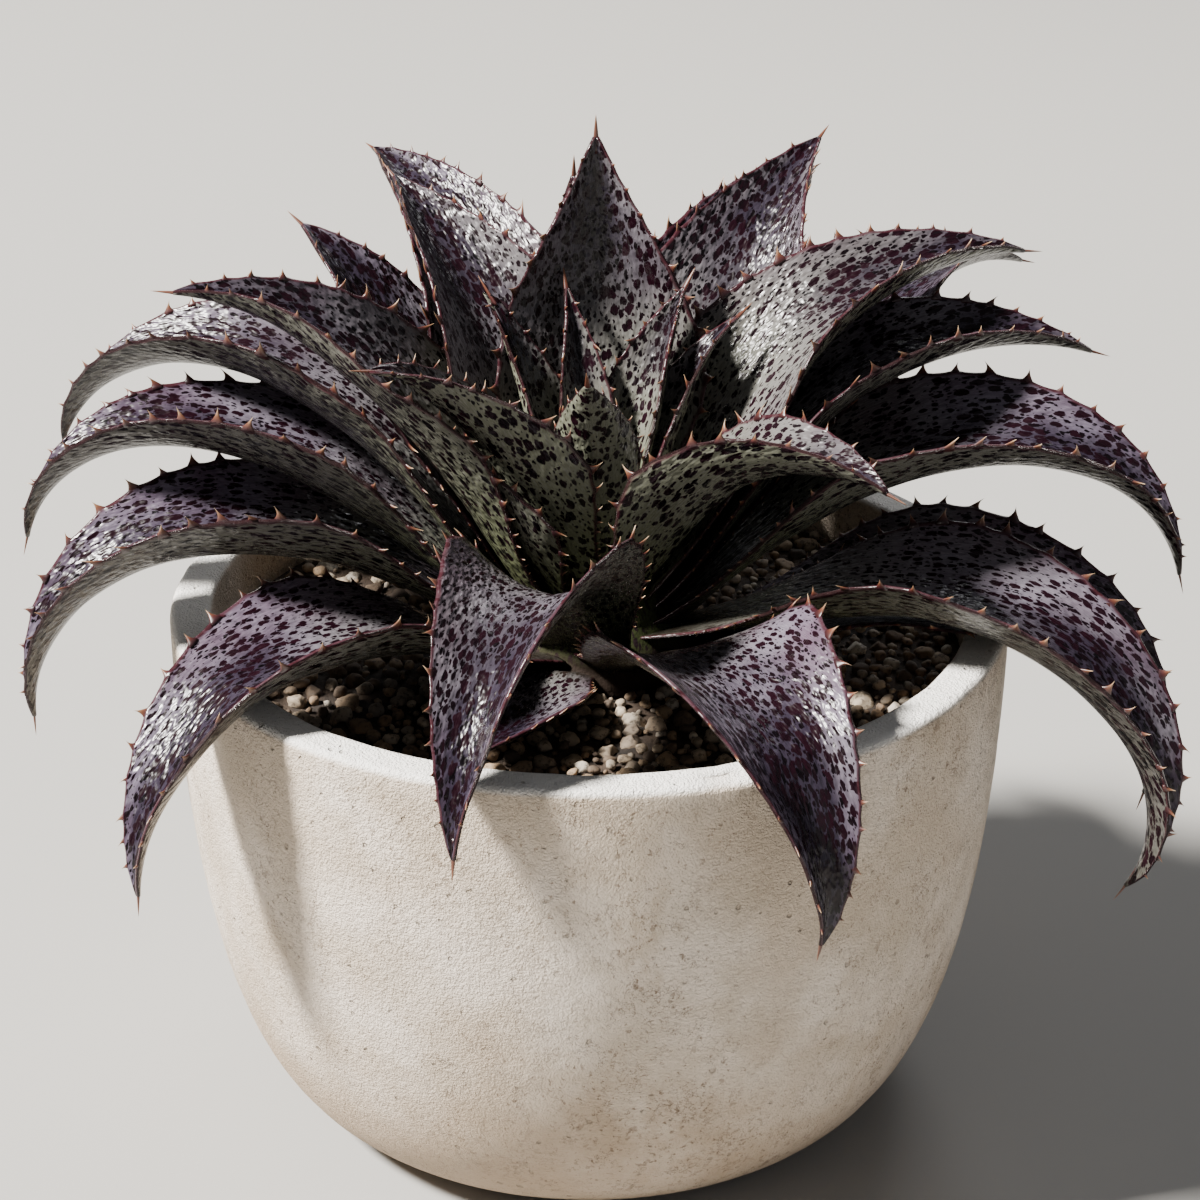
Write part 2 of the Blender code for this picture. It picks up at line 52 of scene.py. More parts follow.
DRAIN_PEG_LENGTH = 0.08
BELLY = 0.62
FLARE = 0.93
RIM_WANDER = 0.0006
EVEN_RADIUS = 0.070
POT_SIDES = 208

# The soil, the grit on it and the stem.
SOIL_TOP = 0.230
SOIL_BED = 0.0022
GRIT_HEIGHT = 0.0035
SOIL_SIDES = 224
# How many stones of each size are laid, and how small and how large they are.
GRIT_SIZES = ((250, 0.0085, 0.0132), (720, 0.0055, 0.0085), (1000, 0.0032, 0.0055))
DISH_DEPTH = 0.004
DISH_RADIUS = 0.062
HOLE_FLOOR = 0.200
HOLE_MIDDLE = 0.216
CRUMBLY_ABOVE = 0.218
GAP = 0.0003
STEM_X = 0.004
STEM_RADIUS = 0.047
STEM_HEIGHT = 0.064
STEM_TOP = 0.058
STEM_ROOT = 0.030
STEM_SIDES = 160
SHEATH_FOOT = -0.006
SHEATH_RELIEF = 0.0013
SHEATH_GROOVE = 0.0045

# The leaves. Sizes are in millimetres and angles in degrees: the direction
# in plan (90 is the back, 270 the front), the height of the leaf's foot on
# the stem, its length and width, its slope at the foot and at the tip, how
# late it bends and its cup. A few leaves also have how far the tip swings
# round, the twist, and how full they stay towards the tip (1 is a straight
# taper).
LEAVES = [
    ("leaf_on_soil_front", 250, 4, 132, 60, 2, 14, 1.0, 36),
    ("leaf_low_back_left", 119, 2, 232, 84, 27, -64, 2.0, 50),
    ("leaf_low_back_right", 74, 3, 226, 92, 26, -62, 2.0, 50),
    ("leaf_low_right_rear", 354, 4, 300, 104, 22, -108, 2.2, 56),
    ("leaf_low_front_left", 217, 8, 272, 108, 26, -88, 1.8, 46, 0, 10),
    ("leaf_low_front_right", 290, 8, 258, 116, 36, -105, 1.7, 46, 22, 0, 1.05),
    ("leaf_low_front", 258, 14, 250, 106, 66, -84, 1.2, 56, -14, 10, 1.0),
    ("leaf_low_back", 96, 8, 214, 90, 38, -56, 2.0, 50),
    ("leaf_low_right", 340, 15.6, 322, 118, 15, -122, 2.4, 58),
    ("leaf_low_left", 190, 10, 296, 110, 36, -92, 2.0, 56),
    ("leaf_mid_left", 178, 13.6, 294, 106, 42, -78, 2.6, 56),
    ("leaf_mid_right", 358, 20.6, 302, 110, 42, -78, 2.2, 54, 0, 8),
    ("leaf_mid_left_rear", 164, 18, 308, 108, 51, -70, 2.2, 58),
    ("leaf_back_left_outer", 148, 24, 220, 106, 60, 30, 2.0, 50, 0, -15),
    ("leaf_back_right_inner", 64, 17, 292, 104, 59, -4, 1.6, 52),
    ("leaf_back_left_rear", 120, 24, 280, 104, 64, 2, 1.6, 52),
    ("leaf_right_rear_lower", 35, 22, 288, 106, 56, -20, 1.8, 56),
    ("leaf_right_high", 12, 26, 262, 106, 54, -20, 1.8, 58),
    ("leaf_back_lower", 98, 28, 200, 96, 62, 90, 1.5, 50),
    ("leaf_left_high", 181, 28, 242, 108, 60, 4, 2.4, 62),
    ("leaf_back_right", 54, 33, 250, 108, 60, 26, 1.8, 52),
    ("leaf_right_rear", 22, 35, 264, 108, 58, -10, 2.0, 56),
    ("leaf_back_left", 128, 36, 224, 108, 62, 26, 1.8, 52),
    ("leaf_inner_left_lower", 197, 33, 116, 82, 58, 54, 2.0, 48),
    ("leaf_back", 91, 41, 208, 106, 70, 88, 1.4, 46),
    ("leaf_inner_right", 326, 35, 178, 98, 60, -14, 1.8, 54, -6, -12),
    ("leaf_inner_left", 209, 44, 166, 92, 65, 24, 1.8, 54, 0, 6),
    ("heart_spike_right", 31, 46, 134, 46, 76, 44, 1.2, 60),
    ("heart_spike_left", 144, 48, 140, 44, 76, 54, 1.2, 60),
    ("heart_spike_back_right", 48, 51, 146, 48, 80, 44, 1.2, 60),
    ("heart_leaf", 265, 53, 120, 58, 77, 54, 1.4, 50),
    ("heart_spike_back", 108, 54, 128, 40, 82, 58, 1.2, 60),
]
STATION_PITCH = 0.0021
FEWEST_STATIONS = 72
COLUMNS = 21
SECTION_STEPS = 12
LEAF_THICKNESS = 0.0056
MARGIN_THICKNESS = 0.0016
FOOT_INSIDE_STEM = 0.009
FOOT_WIDTH = 0.44
CLEARANCE = 0.0024
TEETH_REACH = 1.12
SPINE_LENGTH = 0.011
SPINE_HALF_WIDTH = 0.0019
SPINE_HALF_THICKNESS = 0.0012
HOOK_LENGTH = 0.0070
HOOK_FOOT = 0.0036
HOOK_PITCH_FOOT = 0.0052
HOOK_PITCH = 0.0142
HOOK_SIDES = 8
FIRST_HOOK = 0.10
LAST_HOOK = 0.968
SPINE_START = 0.962
SPINE_SIDES = 10
SWELL_HEIGHT = 0.0011
SWELL_DIP = 0.0003
SWELL_REACH = 0.0030
OLDEST_FOOT = 0.052

# How the leaves are bent clear of each other.
ROUNDS = 120
PAIRS_EVERY = 15
PAIRS_WITHIN = 0.02
SAME_WAY = 80.0
OPPOSITE_WAY = 130.0
NEAR_BESIDE = 0.008
NEAR_BELOW = 0.022
LONGEST_PUSH = 0.004
RIM_CLEARANCE = 0.0042

# The blotches of the skin: the two layers' fineness, least size, spread of sizes and growth with crowding.
SPOT_LAYERS = ((1.0, 0.07, 0.33, 0.21), (2.1, -0.12, 0.40, 0.20))
SPOT_DRIFT = 0.0024
SPOT_EDGE = 16.0
FLECK_COLOUR = (0.150, 0.096, 0.056)

# The studio.
CAMERA_RAISED = 25.2
CAMERA_DISTANCE = 1.44
AIM_RIGHT = 0.0048
AIM_DOWN = 0.00384
FLOOR_HALF = 20.0
FLOOR_DROP = 0.0004
FLOOR_COLOUR = (0.345, 0.337, 0.322)


# Curves and shapes of the leaves.
def unit(vectors):
    return vectors / (np.linalg.norm(vectors, axis=-1, keepdims=True) + 1e-12)


def smooth(low, high, x):
    """0 below low, 1 above high, and an even curve between."""
    t = np.clip((x - low) / (high - low), 0.0, 1.0)
    return t * t * (3.0 - 2.0 * t)


def stem_radius(height):
    """Radius of the tapering stem at a height above the soil."""
    return STEM_RADIUS * (1.0 - (np.maximum(0.0, height) / STEM_HEIGHT) ** 1.3)


def half_width(t, width, taper):
    """Half the blade's width along its length, from a narrowed foot to a long tip."""
    t = np.asarray(t, float)
    rise = FOOT_WIDTH + (1.0 - FOOT_WIDTH) * smooth(0.02, 0.46, t)
    fall = 1.0 - np.clip((t - 0.42) / 0.58, 0.0, 1.0) ** taper
    return width / 2 * rise * fall + 0.0012 * smooth(0.9, 1.0, t)


def thickness(t, size):
    """Blade thickness: fleshy along the middle, thin at the margins and towards the tip."""
    middle = LEAF_THICKNESS * (1.0 - 0.62 * smooth(0.25, 1.0, t))
    return MARGIN_THICKNESS + (middle - MARGIN_THICKNESS) * (1.0 - np.minimum(size, 1.0) ** 2)


def lean(size):
    """How far the section has turned up at a place across it, from 0 at the midrib to 1 at the margin."""
    return 1.5 * size - 0.5 * size**3


# Each leaf carries a small net of shifts that bends it clear of its
# neighbours. The net is smooth, so the blade stays smooth too.
NET_ALONG = np.linspace(0.0, 1.0, 23)
NET_ACROSS = np.linspace(-TEETH_REACH, TEETH_REACH, 9)


def spline_weights(places, net):
    """How much each line of the net moves each place: a smooth cubic blend of the nearest four."""
    count = len(net)
    x = (np.asarray(places, float).ravel() - net[0]) / (net[-1] - net[0]) * (count - 1)
    first = np.clip(np.floor(x).astype(int), 0, count - 2)
    f = x - first
    shares = np.stack([
        (1 - f) ** 3 / 6,
        (3 * f**3 - 6 * f**2 + 4) / 6,
        (-3 * f**3 + 3 * f**2 + 3 * f + 1) / 6,
        f**3 / 6,
    ])
    weights = np.zeros((len(x), count))
    for k in range(4):
        np.add.at(weights, (np.arange(len(x)), np.clip(first - 1 + k, 0, count - 1)), shares[k])
    return weights


class Leaf:
    """The middle line of one leaf, its cupped sections and the shifts that bend it clear."""

    def __init__(
        self, name, azimuth, foot, length, width, low, high, bend, cup, swing=0, twist=0, taper=1.45
    ):
        self.name, self.bend, self.taper = name, bend, taper
        self.foot, self.length, self.width = foot / 1000, length / 1000, width / 1000
        self.azimuth, self.cup = math.radians(azimuth), math.radians(cup)
        self.swing, self.twist = math.radians(swing), math.radians(twist)
        self.slopes = math.radians(low), math.radians(high)
        reach = stem_radius(self.foot) - FOOT_INSIDE_STEM * math.cos(self.slopes[0])
        start = np.array([
            STEM_X + reach * math.cos(self.azimuth),
            reach * math.sin(self.azimuth),
            SOIL_TOP + self.foot - FOOT_INSIDE_STEM * math.sin(self.slopes[0]),
        ])
        steps = 240
        middles = (np.arange(steps) + 0.5) / steps
        moves = self.along(middles) * self.length / steps
        self.line = np.vstack([start, start + np.cumsum(moves, axis=0)])
        self.shifts = np.zeros((len(NET_ALONG), len(NET_ACROSS), 3))

    def slope(self, t):
        low, high = self.slopes
        return low + (high - low) * np.asarray(t) ** self.bend

    def heading(self, t):
        return self.azimuth + self.swing * np.asarray(t) ** 1.5

    def along(self, t):
        slope, heading = self.slope(t), self.heading(t)
        return np.stack([
            np.cos(slope) * np.cos(heading),
            np.cos(slope) * np.sin(heading),
            np.sin(slope),
        ], axis=-1)

    def centre(self, t):
        places = np.linspace(0.0, 1.0, len(self.line))
        return np.stack([np.interp(t, places, self.line[:, k]) for k in range(3)], axis=-1)

    def points(self, t, across, depth=0.0):
        """Points at t along and across (-1 to 1), depth below the upper face as a share of the thickness."""
        t = np.asarray(t, float)
        across = np.asarray(across, float)
        heading = self.heading(t)
        along = self.along(t)
        side = np.stack([-np.sin(heading), np.cos(heading), np.zeros_like(heading)], axis=-1)
        up = np.cross(along, side)
        roll = (self.twist * smooth(0.1, 0.7, t))[..., None]
        side, up = side * np.cos(roll) + up * np.sin(roll), up * np.cos(roll) - side * np.sin(roll)
        centre = self.centre(t)
        half = half_width(t, self.width, self.taper)
        clasp = half * np.sin(self.slope(t)) / np.maximum(
            np.hypot(centre[..., 0] - STEM_X, centre[..., 1]), 0.018
        )
        cup = clasp + (self.cup - clasp) * smooth(0.08, 0.42, t)
        size = np.abs(across)
        sideways = np.zeros_like(size)
        raised = np.zeros_like(size)
        for share in (np.arange(SECTION_STEPS) + 0.5) / SECTION_STEPS:
            sideways = sideways + np.cos(cup * lean(size * share)) / SECTION_STEPS
            raised = raised + np.sin(cup * lean(size * share)) / SECTION_STEPS
        sideways = half * across * sideways
        raised = half * size * raised
        tilt = cup * lean(size) * np.sign(across)
        below = thickness(t, size) * (depth - 0.5)
        sideways = sideways + below * np.sin(tilt)
        raised = raised - below * np.cos(tilt)
        shift = np.einsum(
            "na,abk,nb->nk",
            spline_weights(t, NET_ALONG), self.shifts, spline_weights(across, NET_ACROSS),
            optimize=True,
        ).reshape(centre.shape)
        return centre + side * sideways[..., None] + up * raised[..., None] + shift


# Bending the leaves clear of each other, of the soil and of the pot.
def net_of(leaf):
    """The leaf's middle surface at its net's crossings."""
    along, across = np.meshgrid(NET_ALONG, NET_ACROSS, indexing="ij")
    return leaf.points(along.ravel(), across.ravel(), 0.5).reshape(along.shape + (3,))


def outside_stem(places):
    """True for the places that stand clear of the stem, or only just inside it."""
    radius = stem_radius(np.minimum(places[:, 2] - SOIL_TOP, STEM_HEIGHT))
    return np.hypot(places[:, 0] - STEM_X, places[:, 1]) > radius - 0.005


def turned_between(first, second):
    """The angle in plan between two leaves, from 0 to 180 degrees."""
    turn = abs(first.azimuth - second.azimuth) % (2.0 * math.pi)
    return math.degrees(min(turn, 2.0 * math.pi - turn))


def push_apart(lower, upper, half, moves, turn):
    """Adds the moves that bring two nets to the distance they need.

    The upper leaf stays on the lower one's upper side. The lower leaf stays
    under the upper one if they point much the same way, and on its upper side
    if they point opposite ways.
    """
    (low_at, low_facing, low_free), (up_at, up_facing, up_free) = lower, upper
    squares = (low_at**2).sum(1)[:, None] + (up_at**2).sum(1)[None] - 2.0 * low_at @ up_at.T
    sides = [(up_at, up_free, low_at, low_facing, 1, 0, 0)]
    if turn < SAME_WAY:
        sides.append((low_at, low_free, up_at, -up_facing, 0, 1, 1))
    elif turn > OPPOSITE_WAY:
        sides.append((low_at, low_free, up_at, up_facing, 0, 1, 1))
    for own, free, other, facing, own_k, other_k, axis in sides:
        nearest = squares.argmin(axis=axis)
        normal = facing[nearest]
        offset = own - other[nearest]
        apart = (offset * normal).sum(1)
        beside = np.sqrt(np.maximum((offset**2).sum(1) - apart**2, 0.0))
        need = half + half[nearest] + CLEARANCE
        close = free & (beside < NEAR_BESIDE) & (apart < need) & (apart > -NEAR_BELOW)
        push = np.where(close, np.minimum(need - apart, LONGEST_PUSH), 0.0)[:, None] * 0.5 * normal
        moves[own_k] += push
        counts = np.bincount(nearest[close], minlength=len(other))[:, None]
        back = np.zeros_like(other)
        np.add.at(back, nearest[close], push[close])
        moves[other_k] -= back / np.maximum(counts, 1)


def clear_of_pot(places, half):
    """Moves that lift a net off the soil and the rim and keep what hangs outside off the wall."""
    moves = np.zeros_like(places)
    radius = np.hypot(places[:, 0], places[:, 1])
    outward = places[:, :2] / np.maximum(radius, 1e-6)[:, None]
    floor = SOIL_TOP + GRIT_HEIGHT + half + 0.001
    over_soil = (radius < POT_RIM_RADIUS - POT_WALL) & (radius > STEM_RADIUS)
    moves[:, 2] += np.where(over_soil, np.maximum(floor - places[:, 2], 0.0), 0.0)
    deep = POT_HEIGHT + half + RIM_CLEARANCE - places[:, 2]
    out = POT_RIM_RADIUS + half + RIM_CLEARANCE - radius
    inside_wall = (out > 0.0) & (deep > 0.0) & (radius > POT_RIM_RADIUS - POT_WALL - 0.006)
    sideways = inside_wall & (out < deep)
    moves[:, 2] += np.where(inside_wall & ~sideways, deep, 0.0)
    moves[:, :2] += np.where(sideways, out, 0.0)[:, None] * outward
    return moves


def settle(leaves):
    """Bends the leaves clear of each other, of the soil and of the pot, a little at a time."""
    shape = (len(NET_ALONG), len(NET_ACROSS), 3)
    along, across = np.meshgrid(NET_ALONG, np.abs(NET_ACROSS), indexing="ij")
    half = (thickness(along, across) / 2).ravel()
    base = [net_of(leaf) for leaf in leaves]
    rows = spline_weights(NET_ALONG, NET_ALONG)
    columns = spline_weights(NET_ACROSS, NET_ACROSS)
    for step in range(ROUNDS):
        places = [
            place + np.einsum("ij,jkd,lk->ild", rows, leaf.shifts, columns)
            for place, leaf in zip(base, leaves)
        ]
        nets = []
        for place in places:
            facing = unit(np.cross(np.gradient(place, axis=0), np.gradient(place, axis=1)))
            place = place.reshape(-1, 3)
            nets.append((place, facing.reshape(-1, 3), outside_stem(place)))
        if step % PAIRS_EVERY == 0:
            low = np.array([net[0].min(axis=0) for net in nets]) - PAIRS_WITHIN
            high = np.array([net[0].max(axis=0) for net in nets]) + PAIRS_WITHIN
            pairs = [
                (i, j)
                for i in range(len(leaves))
                for j in range(i + 1, len(leaves))
                if (low[i] < high[j]).all() and (low[j] < high[i]).all()
            ]
        moves = [np.zeros_like(net[0]) for net in nets]
        for i, j in pairs:
            both = [moves[i], moves[j]]
            push_apart(nets[i], nets[j], half, both, turned_between(leaves[i], leaves[j]))
            moves[i], moves[j] = both
        ease = 0.45 * (1.0 - step / ROUNDS) ** 1.6
        for leaf, net, move in zip(leaves, nets, moves):
            move = move + clear_of_pot(net[0], half)
            shifts = leaf.shifts + 0.6 * move.reshape(shape)
            soft = shifts.copy()
            soft[1:-1] = (shifts[:-2] + 2.0 * shifts[1:-1] + shifts[2:]) / 4.0
            shifts = shifts + ease * (soft - shifts)
            soft = shifts.copy()
            soft[:, 1:-1] = (shifts[:, :-2] + 2.0 * shifts[:, 1:-1] + shifts[:, 2:]) / 4.0
            leaf.shifts = shifts + ease * (soft - shifts)


# The hooks along the margins and the spine at the tip.
def tube_faces(rings, sides):
    """Faces that join each ring of points to the next."""
    faces = []
    for k in range(rings - 1):
        for n in range(sides):
            m = (n + 1) % sides
            faces.append((k * sides + n, k * sides + m, (k + 1) * sides + m, (k + 1) * sides + n))
    return faces


def thorn_faces(rings, sides):
    """Faces of a tube that is closed at its foot and runs out to one last point."""
    last = (rings - 1) * sides
    tip = [(last + n, last + (n + 1) % sides, last + sides) for n in range(sides)]
    return tube_faces(rings, sides) + tip + [tuple(range(sides))[::-1]]


def hook_places(leaf, chance):
    """Where the hooks stand along one margin and their sizes, small and crowded at the foot."""
    places = []
    sizes = []
    t = FIRST_HOOK
    while t < LAST_HOOK:
        grown = float(smooth(0.06, 0.46, t))
        narrow = min(1.0, 0.42 + 0.60 * float(half_width(t, leaf.width, leaf.taper)) / 0.045)
        places.append(t)
        sizes.append((0.42 + 0.58 * grown) * narrow * chance.uniform(0.78, 1.12))
        pitch = HOOK_PITCH_FOOT + (HOOK_PITCH - HOOK_PITCH_FOOT) * grown
        pitch *= (0.55 + 0.45 * narrow) * chance.uniform(0.72, 1.28)
        t += pitch / leaf.length
    return np.array(places), np.array(sizes)


def hooks_mesh(leaf, places, sizes, hand, chance):
    """Curved hooks standing on one margin, each flattened like a fin and drawn out to a sharp point."""
    count = len(places)
    reach = np.array([-0.22, 0.04, 0.16, 0.31, 0.48, 0.66, 0.83, 0.94])
    hand_row = np.full(count, hand)
    edge = leaf.points(places, hand_row, 0.5)
    out = unit(edge - leaf.points(places, 0.8 * hand_row, 0.5))
    step = 0.006
    along = unit(
        leaf.points(np.minimum(places + step, 1.0), hand_row, 0.5)
        - leaf.points(places - step, hand_row, 0.5)
    )
    out = unit(out - along * (out * along).sum(1)[:, None])
    up = np.cross(along, out) * hand
    lift = chance.uniform(-0.10, 0.42, count)[:, None]
    out, up = unit(out + lift * up), unit(up - lift * out)
    length = (HOOK_LENGTH * sizes)[:, None]
    tipward = chance.normal(0.16, 0.34, count)[:, None]
    curl = chance.normal(0.10, 0.16, count)[:, None]
    points = []
    for s in reach:
        away = max(s, 0.0)
        middle = edge + length * (out * s + along * tipward * away**1.7 + up * curl * away**1.7)
        wide = HOOK_FOOT * sizes * (0.90 * (1.0 - away) ** 2.1 + 0.12 * (1.0 - away))
        thick = MARGIN_THICKNESS * 0.52 * (0.6 + 0.4 * sizes) * (1.0 - away) ** 0.75
        for n in range(HOOK_SIDES):
            turn = 2.0 * math.pi * n / HOOK_SIDES
            points.append(
                middle
                + along * (wide * math.cos(turn))[:, None]
                + up * (thick * math.sin(turn))[:, None]
            )
    points.append(edge + length * (out + along * tipward + up * curl))
    points = np.stack(points, axis=1)
    faces = thorn_faces(len(reach), HOOK_SIDES)
    if hand < 0:
        faces = [face[::-1] for face in faces]
    per_hook = points.shape[1]
    every = [tuple(v + per_hook * h for v in face) for h in range(count) for face in faces]
    shown = np.append(np.repeat(np.maximum(reach, 0.0), HOOK_SIDES), 1.0)
    tone = chance.uniform(0.0, 1.0, count)
    spread = np.stack([np.tile(shown, count), np.repeat(tone, per_hook)], axis=1)
    return points.reshape(-1, 3), every, spread


def spine_mesh(leaf):
    """The stiff spine that ends the leaf, running on from the last of the blade."""
    reach = np.array([0.0, 0.12, 0.26, 0.42, 0.60, 0.78, 0.91])
    start, end, before_end, left, right = (
        leaf.points(np.array([t]), np.array([across]), 0.5)[0]
        for t, across in ((SPINE_START, 0.0), (1.0, 0.0), (0.985, 0.0), (0.99, 1.0), (0.99, -1.0))
    )
    ahead = unit(end - before_end)
    side = unit(left - right)
    up = np.cross(ahead, side)
    body = float(np.linalg.norm(end - start))
    whole = body + SPINE_LENGTH
    points = []
    for s in reach:
        distance = s * whole
        if distance < body:
            middle = start + (end - start) * distance / body
        else:
            middle = end + ahead * (distance - body)
        wide = SPINE_HALF_WIDTH * (1.0 - s) ** 0.8
        thick = SPINE_HALF_THICKNESS * (1.0 - s) ** 0.8
        for n in range(SPINE_SIDES):
            turn = 2.0 * math.pi * n / SPINE_SIDES
            points.append(middle + side * wide * math.cos(turn) + up * thick * math.sin(turn))
    points.append(end + ahead * SPINE_LENGTH)
    shown = np.append(np.repeat(0.08 + 0.56 * reach, SPINE_SIDES), 0.72)
    spread = np.stack([shown, np.full(len(points), 0.5)], axis=1)
    return np.array(points), thorn_faces(len(reach), SPINE_SIDES), spread


# The blades.
def margin_swell(t, places, sizes, leaf):
    """How far the margin swells under each hook and draws in between, as a share of the half width."""
    gaps = (t[:, None] - places[None]) * leaf.length
    bumps = (sizes[None] * np.exp(-((gaps / SWELL_REACH) ** 2))).sum(1)
    half = half_width(t, leaf.width, leaf.taper)
    swell = SWELL_HEIGHT * bumps - SWELL_DIP
    return swell / np.maximum(half, 0.008) * smooth(0.05, 0.12, t)


def blade_mesh(leaf, margins, chance):
    """The blade as rings of points, with its midrib fold, slow waves and swelling margins."""
    stations = max(FEWEST_STATIONS, int(round(leaf.length / STATION_PITCH)))
    t = np.linspace(0.0, 1.0, stations) ** 0.94
    face = np.sin(np.linspace(-0.5, 0.5, COLUMNS) * math.pi * 0.86) / math.sin(0.43 * math.pi)
    swell = {hand: margin_swell(t, *margins[hand], leaf) for hand in (-1, 1)}
    phases = chance.uniform(0.0, 2.0 * math.pi, 6)
    rings = []
    shares = []
    for depth, columns in ((0.0, face), (1.0, face[::-1])):
        for across in columns:
            hand = 1 if across > 0 else -1
            size = abs(across)
            reach = across * (1.0 + swell[hand] * size**6)
            top = leaf.points(t, reach, 0.0)
            low = leaf.points(t, reach, 1.0)
            normal = unit(top - low)
            run = t * leaf.length
            wave = (0.00018 + 0.00052 * size**2) * (
                np.sin(run / 0.0105 + phases[0] + 1.3 * hand) * 0.5
                + np.sin(run / 0.0190 + phases[1] - 0.9 * hand) * 0.8
                + np.sin(run / 0.0067 + phases[2] + 3.0 * across) * 0.25
            )
            wave = wave * smooth(0.1, 0.25, t) * (1.0 - smooth(0.86, 1.0, t))
            middle = np.minimum(1.0, half_width(t, leaf.width, leaf.taper) / 0.02)
            place, wide, deep = (top, 0.055, 0.0007) if depth == 0.0 else (low, 0.075, 0.0009)
            groove = -deep * math.exp(-((across / wide) ** 2)) * middle
            rings.append(place + normal * (wave + groove)[:, None])
            shares.append((np.full(stations, across), np.full(stations, depth)))
        hand = 1 if depth == 0.0 else -1
        row = hand * (1.0 + swell[hand])
        edge = leaf.points(t, row, 0.5)
        out = unit(edge - leaf.points(t, 0.9 * row, 0.5))
        bulge = 0.45 * MARGIN_THICKNESS * np.minimum(1.0, half_width(t, leaf.width, leaf.taper) / 0.006)
        rings.append(edge + out * bulge[:, None])
        shares.append((np.full(stations, float(hand)), np.full(stations, 0.5)))
    around = len(rings)
    points = np.stack(rings, axis=1).reshape(-1, 3)
    across = np.stack([share[0] for share in shares], axis=1).ravel()
    depth = np.stack([share[1] for share in shares], axis=1).ravel()
    along = np.repeat(t, around)
    faces = [(a, d, c, b) for a, b, c, d in tube_faces(stations, around)]
    faces.append(tuple(range(around)))
    faces.append(tuple(range((stations - 1) * around, stations * around))[::-1])
    return points, faces, along, across, depth


def face_maps(piece, name, values):
    """A named map that gives each corner of the mesh its point's two values."""
    mesh = piece.data
    layer = mesh.uv_layers.new(name=name)
    corners = np.empty(len(mesh.loops), np.int32)
    mesh.loops.foreach_get("vertex_index", corners)
    layer.data.foreach_set("uv", values[corners].astype(np.float32).ravel())


def make_piece(name, points, faces, finishes, face_finish=None):
    """A smooth-shaded mesh piece with its finishes."""
    mesh = bpy.data.meshes.new(name)
    mesh.from_pydata([tuple(map(float, point)) for point in points], [], faces)
    for finish in finishes:
        mesh.materials.append(finish)
    if face_finish is not None:
        mesh.polygons.foreach_set("material_index", np.asarray(face_finish, np.int32))
    mesh.polygons.foreach_set("use_smooth", np.ones(len(mesh.polygons), bool))
    mesh.update()
    piece = bpy.data.objects.new(name, mesh)
    bpy.context.scene.collection.objects.link(piece)
    return piece


def make_leaf(leaf, number, skin, horn):
    """One leaf: its blade, the hooks along both margins and the spine at its tip."""
    chance = np.random.default_rng(1000 + number)
    margins = {hand: hook_places(leaf, chance) for hand in (-1, 1)}
    points, faces, along, across, depth = blade_mesh(leaf, margins, chance)
    half = half_width(along, leaf.width, leaf.taper)
    apart = np.array([0.37 * number, 0.53 * number])
    sideways = across * half + np.where(depth > 0.5, 0.31, 0.0)
    age = 1.0 - min(1.0, leaf.foot / OLDEST_FOOT)
    maps = {
        "skin_map": np.stack([along * leaf.length, sideways], axis=1) + apart,
        "place_map": np.stack([along, np.abs(across)], axis=1),
        "age_map": np.stack([np.full(len(points), age), depth], axis=1),
        "horn_map": np.zeros((len(points), 2)),
    }
    finish = [0] * len(faces)
    thorns = [hooks_mesh(leaf, *margins[hand], float(hand), chance) for hand in (-1, 1)]
    for own_points, own_faces, own_map in [*thorns, spine_mesh(leaf)]:
        faces += [tuple(v + len(points) for v in face) for face in own_faces]
        finish += [1] * len(own_faces)
        points = np.vstack([points, own_points])
        for name, values in maps.items():
            own = own_map if name == "horn_map" else np.zeros((len(own_points), 2))
            maps[name] = np.vstack([values, own])
    piece = make_piece(leaf.name + "_grown", points, faces, [skin, horn], finish)
    for name, values in maps.items():
        face_maps(piece, name, values)
    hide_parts(leaf.name)
    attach(piece, "root")


# The pot, the soil and the grit.
def bowl_radius(height):
    """Outer radius of the pot at a height, from the foot to the rim."""
    turn = math.acos(max(0.0, 1.0 - height / POT_HEIGHT) ** (1.0 / FLARE))
    return POT_FOOT_RADIUS + (POT_RIM_RADIUS - POT_FOOT_RADIUS) * math.sin(turn) ** BELLY


def turned(profile, segments):
    """Points and faces of a profile of (radius, height) turned about the upright axis, from pole to pole."""
    points = []
    rings = []
    for radius, height in profile:
        if radius < 1e-9:
            rings.append([len(points)])
            points.append((0.0, 0.0, height))
            continue
        rings.append(list(range(len(points), len(points) + segments)))
        for n in range(segments):
            turn = 2.0 * math.pi * n / segments
            points.append((radius * math.cos(turn), radius * math.sin(turn), height))
    faces = []
    for low, high in zip(rings, rings[1:]):
        for n in range(segments):
            m = (n + 1) % segments
            corners = low[n % len(low)], low[m % len(low)], high[m % len(high)], high[n % len(high)]
            faces.append(tuple(dict.fromkeys(corners)))
    return np.array(points), faces


def inner_wall_radius(height):
    """Radius of the pot's inner wall at a height above its floor's corner."""
    return bowl_radius(min(height, 0.86 * POT_HEIGHT)) - POT_WALL


def eased_edge(radius, inward, angles):
    """The rounded edge of the rim, on its outer (-1) or its inner side (1), as (radius, height) places."""
    return [
        (
            radius + inward * RIM_EDGE * (1.0 - math.cos(math.radians(angle))),
            POT_HEIGHT - RIM_EDGE * (1.0 - math.sin(math.radians(angle))),
        )
        for angle in angles
    ]


